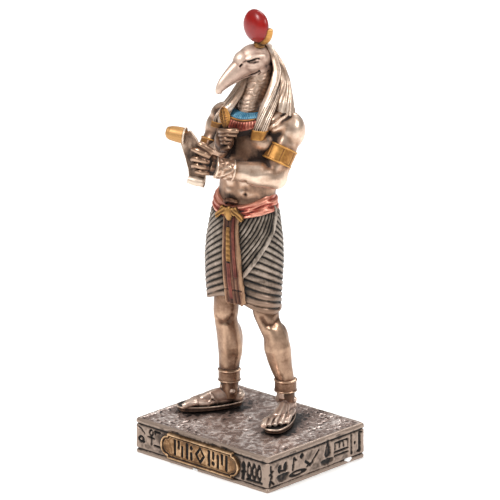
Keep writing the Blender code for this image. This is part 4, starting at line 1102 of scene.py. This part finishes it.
def makeTrim():
    j = joints
    band("leftArmband", mix(j["leftShoulder"], j["leftElbow"], 0.38), (5.75, -1.6, 51.2), 2.84, "gold", panels=7)
    band("rightArmband", mix(j["rightShoulder"], j["rightElbow"], 0.38),
         mix(j["rightShoulder"], j["rightElbow"], 0.7), 2.8, "gold", panels=7)
    band("leftCuff", mix(j["leftElbow"], j["leftWrist"], 0.84), mix(j["leftElbow"], j["leftWrist"], 1.24), 1.95,
         "bronze", bumps=0.09)
    for which in ("left", "right"):
        ankle = j[which + "Ankle"]
        band(which + "Anklet", (ankle[0], ankle[1], 5.4), (ankle[0], ankle[1], 7.9), 2.12, "legs", rim=0.14)
        makeSandal(which)


def makeSandal(which):
    turn = np.linspace(0.0, 2 * math.pi, 160, endpoint=False)
    along = sandal["length"] / 2 * (1 - np.cos(turn))
    width = sandal["halfWidth"] * (0.86 + 0.14 * np.sin((along / sandal["length"] - 0.3) * math.pi))
    across = np.sign(np.sin(turn)) * np.abs(np.sin(turn)) ** 0.6 * width
    rows = []
    middle = sandal["length"] / 2
    wave = 0.06 * np.sin(turn * 3 + 0.6)
    for up, shrink in ((0.0, 0.95), (0.12, 0.955), (0.45, 0.955), (0.58, 0.985), (0.74, 1.0), (0.88, 0.985), (0.9, 0.96),
                       (0.84, 0.93), (0.7, 0.9), (0.68, 0.5), (0.68, 0.05)):
        rise = wave if 0.5 < up and shrink > 0.92 else 0.0 * wave
        rows.append([footPoint(which, middle + (a - middle) * shrink, c * shrink, sandal["gap"] + up + w)
                     for a, c, w in zip(along, across, rise)])
    finished(grid(rows), which + "Sole", "strap", "figure", relief={"fineMm": 0.08, "broadMm": 0.25})


quillEdges = {
    # Edges of the feather from its tip down to the hand, as places in the 500 x 500 frame, and its depth
    "left": [(222.0, 108.0), (219.8, 111.0), (219.0, 116.0), (220.0, 121.5), (222.5, 126.0), (224.5, 130.0)],
    "right": [(223.0, 108.0), (226.8, 110.6), (229.4, 115.5), (229.6, 121.0), (228.0, 126.0), (226.5, 130.0)],
    "y": -7.1,
}


def leaf(leftEdge, rightEdge, y, name, finish):
    left = np.array([atDepth(u, v, y) for u, v in leftEdge])
    right = np.array([atDepth(u, v, y) for u, v in rightEdge])
    knots = np.linspace(0.0, 1.0, len(left))
    share = np.linspace(0.0, 1.0, 48)
    rows = []
    for t in np.linspace(0.0, 1.0, 150):
        a = np.array([np.interp(t, knots, left[:, k]) for k in range(3)])
        b = np.array([np.interp(t, knots, right[:, k]) for k in range(3)])
        middle = share - 0.5
        rib = 0.2 * np.exp(-(middle / 0.07) ** 2)
        barbs = 0.07 * np.sin((t * 17 - np.abs(middle) * 3.0) * 2 * math.pi) * (np.abs(middle) > 0.1)
        thick = 0.34 + rib + barbs * 0.8 - 0.22 * (2 * np.abs(middle)) ** 6
        line = a + np.outer(share, b - a)
        ahead = np.array([0.0, -1.0, 0.0])
        rows.append(np.concatenate([line + np.outer(thick, ahead), line[::-1] - np.outer(thick[::-1], ahead)]))
    finished(grid(rows), name, finish, "figure", relief={"fineMm": 0.06})


def makeScroll():
    top = tube([((-11.4, -13.3, 57.75), 0.8), ((-11.15, -13.24, 57.72), 1.1), ((-10.6, -13.1, 57.6), 1.36),
                ((-9.4, -12.85, 57.45), 1.5), ((-8.0, -12.5, 57.25), 1.55)], sides=36)
    finished(top, "scrollTopRoll", "paleGold", "figure")
    foot = tube([((-7.7, -11.6, 48.5), 0.75), ((-6.4, -11.2, 48.2), 0.9), ((-4.9, -10.7, 48.0), 0.85)], sides=32)
    finished(foot, "scrollFootRoll", "sheet", "figure")
    for name, centre, way, radius, thick in (("topRollRim", (-7.9, -12.45, 57.25), (1.0, 0.3, -0.1), 1.5, 0.2),
                                             ("footRollRim", (-4.85, -10.65, 48.0), (1.0, 0.3, -0.1), 0.82, 0.16),
                                             ("footRollCoil", (-4.8, -10.62, 48.0), (1.0, 0.3, -0.1), 0.4, 0.13)):
        way = Vector(way).normalized()
        side = way.cross(Vector((0.0, 0.0, 1.0))).normalized()
        other = way.cross(side)
        ring = [(Vector(centre) + (side * math.cos(t) + other * math.sin(t)) * radius, thick)
                for t in np.linspace(0.0, 2 * math.pi, 25)]
        finished(tube([(tuple(spot), r) for spot, r in ring], sides=12, steps=4), name, "sheet", "figure")
    edges = [((-9.0, -12.7, 57.2), (-6.9, -12.1, 58.4)), ((-8.6, -12.4, 55.2), (-5.9, -11.4, 56.7)),
             ((-8.2, -11.6, 52.6), (-4.9, -10.6, 53.6)), ((-7.8, -11.2, 50.2), (-4.4, -10.2, 50.9)),
             ((-7.5, -11.4, 48.4), (-4.6, -10.6, 48.2))]
    left = np.array([e[0] for e in edges])
    right = np.array([e[1] for e in edges])
    knots = np.linspace(0.0, 1.0, len(edges))
    outward = np.array((0.28, -0.94, 0.15))
    rows = []
    for t in np.linspace(0.0, 1.0, 90):
        a = np.array([np.interp(t, knots, left[:, k]) for k in range(3)])
        b = np.array([np.interp(t, knots, right[:, k]) for k in range(3)])
        share = np.linspace(0.0, 1.0, 40)
        # The sheet cups towards the reader, with a thickened edge
        cup = 0.5 * (1 - 4 * (share - 0.5) ** 2)
        edge = 0.1 * (np.abs(share - 0.5) > 0.46)
        fibre = 0.05 * roughNoise(share * 4.5, np.full(40, t * 9.0), 0.7, 71)
        line = a + np.outer(share, b - a) - np.outer(cup + fibre, outward)
        rows.append(np.concatenate([line + np.outer(0.28 + edge, outward), line[::-1] - np.outer(0.28 + edge, outward)]))
    finished(grid(rows), "scrollSheet", "sheet", "figure")
    leaf(quillEdges["left"], quillEdges["right"], quillEdges["y"], "quill", "gold")


def makeCrown():
    turn = discAt["turn"]
    cx, cy, cz = discAt["centre"]
    face = (math.sin(turn), -math.cos(turn), 0.0)
    disc = ball(discAt["centre"], (discAt["thick"] / 2, discAt["radius"], discAt["radius"]), aim=face, segments=96)
    spots, up = points(disc), normals(disc)
    rough = roughNoise(spots[:, 0] + spots[:, 1], spots[:, 2], 1.4, 41)
    setPoints(disc, spots + up * (0.05 * rough)[:, None])
    finished(disc, "sunDisc", "disc", "figure")
    horn = []
    for i in range(13):
        angle = math.radians(184 + 172 * i / 12)
        across = (discAt["radius"] - 0.3) * math.cos(angle)
        horn.append(((cx + across * math.cos(turn) - 0.85 * math.sin(turn),
                      cy + across * math.sin(turn) + 0.85 * math.cos(turn),
                      cz + (discAt["radius"] - 0.3) * math.sin(angle)), 0.98 - 0.08 * abs(i - 8.5)))
    horn = moulded([tube(horn), ball((cx + 0.5, cy + 0.45, 74.2), (1.3, 1.0, 1.0))], 0.1)
    finished(horn, "crescent", "gold", "figure")
    base = moulded([ball((cx + 0.2, cy + 0.5, 73.2), (0.9, 0.95, 0.8)), ball((cx + 0.25, cy + 0.8, 72.7), (1.15, 1.2, 0.5))],
                   0.12, rounds=8)
    finished(base, "crownFoot", "oldGold", "figure")


plinthMarks = {
    # Shallow signs on each face: s runs to the right as that face is seen, z up, in millimetres
    "right": [("line", -13.1, 1.5, -12.6, 3.2, 0.32), ("line", -12.6, 3.2, -12.9, 5.2, 0.24),
              ("line", -12.6, 2.2, -12.0, 1.5, 0.2), ("line", -13.2, 3.6, -12.2, 4.1, 0.2),
              ("disc", -10.3, 4.1, 0.55, 0.75), ("disc", -8.7, 4.2, 0.6, 0.85), ("line", -10.3, 3.6, -8.6, 3.5, 0.22),
              ("bowl", -9.4, 2.9, 1.6, 1.5), ("line", -6.6, 3.0, -6.3, 5.2, 0.26), ("line", -6.3, 5.2, -5.7, 4.6, 0.2),
              ("disc", -4.1, 5.1, 0.5, 0.5), ("ring", -5.2, 2.0, 1.75, 0.42, 0.17),
              ("line", -3.1, 3.7, -1.7, 2.7, 0.26), ("line", -1.7, 2.7, 0.6, 4.9, 0.22),
              ("line", -2.7, 2.6, -1.0, 3.0, 0.18), ("line", 3.4, 6.0, 2.6, 3.6, 0.3), ("line", 3.4, 6.0, 3.9, 3.6, 0.3),
              ("disc", 3.3, 3.7, 0.85, 1.0), ("bowl", 3.1, 2.5, 1.6, 1.3), ("line", 5.2, 5.1, 8.9, 5.1, 0.17),
              ("line", 5.3, 5.1, 5.3, 3.9, 0.17), ("line", 6.5, 5.1, 6.5, 4.1, 0.17), ("line", 7.7, 5.1, 7.7, 4.1, 0.17),
              ("line", 8.9, 5.1, 8.9, 3.9, 0.17), ("line", 5.2, 3.3, 9.0, 3.3, 0.17), ("line", 5.2, 2.5, 9.0, 2.5, 0.17),
              ("line", 10.0, 2.0, 10.0, 5.5, 0.26), ("disc", 11.0, 3.8, 0.3, 0.3), ("line", 12.4, 1.9, 12.4, 5.5, 0.36),
              ("line", 12.2, 5.4, 13.0, 5.4, 0.22), ("line", 11.7, 1.9, 12.4, 1.9, 0.22)],
    "front": [("line", -17.0, 5.5, -15.8, 5.2, 0.2), ("line", -15.8, 5.2, -14.9, 4.3, 0.17),
              ("ring", -15.7, 3.1, 0.55, 0.5, 0.2), ("line", -15.3, 2.5, -14.9, 2.7, 0.18),
              ("ring", -13.1, 4.9, 0.42, 0.55, 0.16), ("line", -13.1, 4.2, -13.1, 2.5, 0.19),
              ("line", -13.9, 3.9, -12.3, 3.9, 0.17), ("line", -12.2, 5.4, -10.7, 5.4, 0.16),
              ("line", -12.3, 2.5, -10.7, 2.5, 0.16), ("line", -12.2, 5.4, -12.0, 4.9, 0.16),
              ("disc", 11.0, 4.2, 0.45, 0.8), ("line", 11.1, 3.6, 10.8, 1.6, 0.34), ("line", 10.6, 2.9, 11.5, 3.2, 0.2),
              ("loop", 12.4, 3.5, 0.42, 1.3, 0.16), ("loop", 13.7, 3.5, 0.42, 1.3, 0.16),
              ("loop", 15.0, 3.5, 0.42, 1.3, 0.16), ("line", 11.9, 1.7, 15.7, 1.7, 0.2)],
}


def markDepth(marks, s, z):
    # How deep the cut is at each place of a face, from 0 to 1
    deep = np.zeros_like(s)
    for kind, *m in marks:
        if kind == "line":
            ax, az, bx, bz, width = m
            length = max((bx - ax) ** 2 + (bz - az) ** 2, 1e-9)
            t = np.clip(((s - ax) * (bx - ax) + (z - az) * (bz - az)) / length, 0.0, 1.0)
            off = np.hypot(s - ax - t * (bx - ax), z - az - t * (bz - az)) / width
        elif kind in ("disc", "bowl"):
            x, y, rx, rz = m
            off = np.hypot((s - x) / rx, (z - y) / rz)
            if kind == "bowl":
                off = np.where(z > y, off + (z - y) * 6, off)
        else:
            x, y, rx, rz, width = m
            reach = np.hypot((s - x) / rx, (z - y) / rz)
            off = np.abs(reach - 1.0) * min(rx, rz) / width
        deep = np.maximum(deep, np.clip((1.25 - off) / 0.5, 0.0, 1.0))
    return deep


def roundedBox(halfX, halfY, radius, spacing):
    # Points round an oblong with rounded corners, and which way each looks
    spots, ways = [], []
    corners = [(halfX, -halfY, -90), (halfX, halfY, 0), (-halfX, halfY, 90), (-halfX, -halfY, 180)]
    for k, (x, y, start) in enumerate(corners):
        cx, cy = x - math.copysign(radius, x), y - math.copysign(radius, y)
        for t in np.linspace(0.0, 90.0, 6):
            a = math.radians(start + t)
            spots.append((cx + radius * math.cos(a), cy + radius * math.sin(a)))
            ways.append((math.cos(a), math.sin(a)))
        nx, ny, after = corners[(k + 1) % 4]
        a = math.radians(after)
        end = (nx - math.copysign(radius, nx) + radius * math.cos(a), ny - math.copysign(radius, ny) + radius * math.sin(a))
        count = int(math.hypot(end[0] - spots[-1][0], end[1] - spots[-1][1]) / spacing)
        begin = spots[-1]
        for i in range(1, count):
            spots.append(mix(begin, end, i / count))
            ways.append((math.cos(a), math.sin(a)))
    return np.array(spots), np.array(ways)


plateLook = {"half": 10.2, "tall": 2.6, "z": 3.6, "proud": 0.65, "endRadius": 2.0,
             "strokes": [("line", -6.6, -1.3, -6.6, 1.4, 0.3), ("line", -5.6, 0.1, -5.6, 1.4, 0.28),
                         ("line", -4.7, -1.3, -4.7, 0.5, 0.28), ("line", -3.4, -1.3, -3.4, 1.4, 0.3),
                         ("line", -2.3, -1.3, -2.3, -0.2, 0.28), ("disc", -2.3, 0.9, 0.36, 0.4),
                         ("line", 0.0, -1.4, -1.0, 0.0, 0.24), ("line", -1.0, 0.0, 0.0, 1.4, 0.24),
                         ("line", 0.0, 1.4, 1.0, 0.0, 0.24), ("line", 1.0, 0.0, 0.0, -1.4, 0.24),
                         ("line", 2.3, -1.3, 2.3, 1.4, 0.3), ("line", 3.4, 0.2, 3.4, 1.4, 0.28),
                         ("disc", 3.4, -0.8, 0.36, 0.4), ("line", 4.6, -1.3, 4.6, 1.0, 0.3),
                         ("line", 5.7, -0.3, 5.7, 1.4, 0.28), ("line", 6.8, -1.3, 6.8, 1.4, 0.3)]}


def plateOutline():
    # Long straight sides, a small step at each end, then a rounded end
    look = plateLook
    half, tall, radius = look["half"], look["tall"], look["endRadius"]
    corner = [(half - radius + 0.1, tall), (half - radius + 0.28, tall - 0.08), (half - radius + 0.3, tall - 0.5)]
    for i in range(14):
        angle = math.radians(80 - 78 * i / 13)
        corner.append((half - radius + 0.25 + (radius - 0.25) * math.cos(angle), (tall - 0.5) * math.sin(angle)))
    side = corner + [(x, -z) for x, z in reversed(corner)]
    return np.array(side + [(-x, -z) for x, z in side])


def closeSeams(item):
    useOnly(item)
    bpy.ops.object.mode_set(mode="EDIT")
    bpy.ops.mesh.select_all(action="SELECT")
    bpy.ops.mesh.remove_doubles(threshold=0.0005)
    bpy.ops.mesh.select_all(action="DESELECT")
    bpy.ops.mesh.select_non_manifold()
    bpy.ops.mesh.fill_holes(sides=0)
    bpy.ops.mesh.select_all(action="SELECT")
    bpy.ops.mesh.normals_make_consistent(inside=False)
    bpy.ops.object.mode_set(mode="OBJECT")


def makeNameplate(front):
    look = plateLook
    outline = plateOutline()
    s = np.linspace(-look["half"], look["half"], 330)
    top = np.interp(np.abs(s), outline[:31, 0][:17], outline[:17, 1])
    share = np.sin(np.linspace(-math.pi / 2, math.pi / 2, 90))
    ends = np.stack([outline, np.roll(outline, -1, axis=0)], axis=1)
    face, back = [], []
    for t in share:
        z = top * t * 0.999
        away = np.full(len(s), 1e9)
        for a, b in ends:
            way = b - a
            k = np.clip(((s - a[0]) * way[0] + (z - a[1]) * way[1]) / max(way @ way, 1e-9), 0.0, 1.0)
            away = np.minimum(away, np.hypot(s - a[0] - k * way[0], z - a[1] - k * way[1]))
        # A round raised edge, a dark gutter, an inner line and the sunk strokes
        edge = look["proud"] * np.clip(away / 0.16, 0.0, 1.0) ** 0.5
        gutter = 0.36 * np.clip((away - 0.38) / 0.14, 0.0, 1.0)
        inner = 0.12 * np.exp(-((away - 0.78) / 0.1) ** 2)
        cut = 0.36 * markDepth(look["strokes"], s, z) * (away > 0.7)
        wave = 0.03 * roughNoise(s, z, 1.0, 51)
        height = edge - gutter + inner - cut + wave
        face.append(np.stack([s, front - height, look["z"] + z], axis=1))
        back.append(np.stack([s, np.full(len(s), front + 0.3), look["z"] + z], axis=1))
    plate = grid(face + back[::-1] + [face[0]], closedAround=False, caps=False)
    closeSeams(plate)
    finished(plate, "nameplate", "plate", "plinth", place=Matrix.Identity(4),
             relief={"fineMm": 0.08, "broadMm": 0.16, "fineRounds": 6, "broadRounds": 40})


def makePlinth():
    size = plinthSize
    halfX, halfY, tall = size["width"] / 2, size["depth"] / 2, size["height"]
    spots, ways = roundedBox(halfX, halfY, 0.45, 0.16)
    rows = [np.column_stack([spots * (1.0 - 0.3 / halfY), np.zeros(len(spots))])]
    onX = np.abs(ways[:, 0]) > np.abs(ways[:, 1])
    along = np.where(onX, spots[:, 1] * np.sign(ways[:, 0]), -spots[:, 0] * np.sign(ways[:, 1]))
    faceOf = np.where(onX, np.where(ways[:, 0] > 0, "right", "left"), np.where(ways[:, 1] < 0, "front", "back"))
    marksFor = {"right": plinthMarks["right"], "left": plinthMarks["right"], "front": plinthMarks["front"],
                "back": plinthMarks["right"]}
    for z in np.concatenate([[0.12, 0.3], np.arange(0.46, tall - 0.45, 0.13)]):
        cut = np.zeros(len(spots))
        for face, marks in marksFor.items():
            here = faceOf == face
            cut[here] = markDepth(marks, along[here], np.full(here.sum(), z)) * 0.42
        for line in (6.0, 0.95):
            cut = np.maximum(cut, 0.3 * np.exp(-((z - line) / 0.18) ** 2))
        level = np.full(len(along), z)
        wobble = 0.06 * roughNoise(along, level, 1.6, 5) + 0.03 * roughNoise(along, level, 0.5, 6)
        lower = 0.1 if z < 0.2 else 0.0
        rows.append(np.column_stack([spots - ways * (cut + wobble + lower)[:, None], level]))
    for t in np.linspace(0.0, 90.0, 5):
        a = math.radians(t)
        wave = 0.05 * roughNoise(spots[:, 0], spots[:, 1], 1.3, 7)
        rows.append(np.column_stack([spots - ways * 0.42 * (1 - math.cos(a)),
                                     tall - 0.42 + 0.42 * math.sin(a) + wave * math.sin(a) - 0.05]))
    inner = spots - ways * 0.42
    for share in np.linspace(0.0, 1.0, 72)[1:-1]:
        place = inner * (1.0 - share)
        x, y = place[:, 0], place[:, 1]
        fade = min(share / 0.05, 1.0)
        # Trodden smooth with long ripples along the middle, and gritty towards the two outer corners
        corner = np.clip((np.abs(x + y) * 0.707 - 7.0) / 6.0, 0.0, 1.0)
        ripple = 1.0 - np.abs(roughNoise(x * 0.7 + y * 0.5, (y - x) * 0.45, 0.9, 9)) * 2.2
        fine = roughNoise(x * 0.8 - y * 0.2, y * 0.6 + x * 0.3, 0.45, 8)
        grit = 0.5 * roughNoise(x, y, 0.5, 2) + 0.5 * roughNoise(x, y, 0.3, 3)
        pits = np.clip(roughNoise(x, y, 0.45, 4) - 0.3, 0.0, 1.0)
        rise = 0.07 * roughNoise(x, y, 3.2, 1) - 0.14 + (1 - corner) * (0.05 * ripple + 0.02 * fine)
        rise += corner * (0.07 * grit - 0.3 * pits)
        rows.append(np.column_stack([place, tall - 0.05 + np.minimum(rise * fade, 0.05)]))
    rows.append(np.column_stack([inner * 0.004, np.full(len(spots), tall - 0.12)]))
    block = finished(grid(rows), "plinthBlock", "stone", "plinth", place=Matrix.Identity(4),
                     relief={"fineMm": 0.075, "broadMm": 0.16, "fineRounds": 6, "broadRounds": 40})
    # The top faces take the lighter copy of the stone, painted lighter than the sides
    block.data.materials.append(finishes["rippled"])
    for polygon in block.data.polygons:
        inside = abs(polygon.center.x) < (halfX - 0.6) / 1000 and abs(polygon.center.y) < (halfY - 0.6) / 1000
        polygon.material_index = int(inside and polygon.center.z > (tall - 1.0) / 1000)
    makeNameplate(-halfY)
    for name, spot, radii in (("chipRight", (16.98, 9.2, 0.68), (0.24, 1.1, 0.6)),
                              ("chipFront", (-1.5, -13.62, 0.36), (0.85, 0.3, 0.3))):
        chip = ball(spot, radii, segments=24)
        place = points(chip)
        setPoints(chip, place + 0.05 * roughNoise(place[:, 0] + place[:, 1], place[:, 2], 0.4, 11)[:, None])
        finished(chip, name, "resin", "plinth", place=Matrix.Identity(4))


def addShade(reachMm=9.0, sampleEvery=5, rays=14):
    # How open each place is, from rays against the whole figure, spread over the points between samples; the finishes
    # paint it in as shade
    items = [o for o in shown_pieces() if o.type == "MESH" and "relief" in o.data.attributes]
    allSpots, allFaces, start = [], [], 0
    for item in items:
        spots = points(item)
        allSpots.append(spots)
        for polygon in item.data.polygons:
            allFaces.append([k + start for k in polygon.vertices])
        start += len(spots)
    tree = BVHTree.FromPolygons(np.concatenate(allSpots).tolist(), allFaces)
    draw = np.random.default_rng(3)
    turn = draw.uniform(0.0, 2 * math.pi, rays)
    lean = np.sqrt((np.arange(rays) + 0.5) / rays)
    fan = np.stack([lean * np.cos(turn), lean * np.sin(turn), np.sqrt(1 - lean ** 2)], axis=1)
    reach = reachMm / 1000
    for item, spots in zip(items, allSpots):
        up = normals(item)
        value, weight = np.zeros(len(spots)), np.zeros(len(spots))
        picks = np.arange(0, len(spots), sampleEvery)
        side = np.cross(up[picks], np.where(np.abs(up[picks, 2:3]) < 0.9, [[0.0, 0.0, 1.0]], [[1.0, 0.0, 0.0]]))
        side /= np.maximum(np.linalg.norm(side, axis=1, keepdims=True), 1e-9)
        other = np.cross(up[picks], side)
        for k, pick in enumerate(picks):
            ways = fan[:, :1] * side[k] + fan[:, 1:2] * other[k] + fan[:, 2:] * up[pick]
            origin = Vector(spots[pick] + up[pick] * 0.00006)
            lost = 0.0
            for way in ways:
                hit = tree.ray_cast(origin, Vector(way), reach)
                if hit[0] is not None:
                    lost += 1.0 - 0.7 * hit[3] / reach
            value[pick], weight[pick] = 1.0 - lost / rays, 1.0
        ends = edgeEnds(item)
        both = averaged(ends, np.stack([value, weight], axis=1), 24)
        layer = item.data.attributes.new("shade", "FLOAT", "POINT")
        layer.data.foreach_set("value", both[:, 0] / np.maximum(both[:, 1], 1e-6))
    print("shade ready")


makeFinishes()
addCamera()
addStudio()
print("studio ready")
makeBody()
makeLegs()
makeFoot("left")
makeFoot("right")
makeHands()
makeHead()
makeWig()
makeKilt()
makeSash()
makeApron()
makeBuckle()
makeCollar()
makeTrim()
makeScroll()
makeCrown()
makePlinth()
addShade()
print("pieces ready")
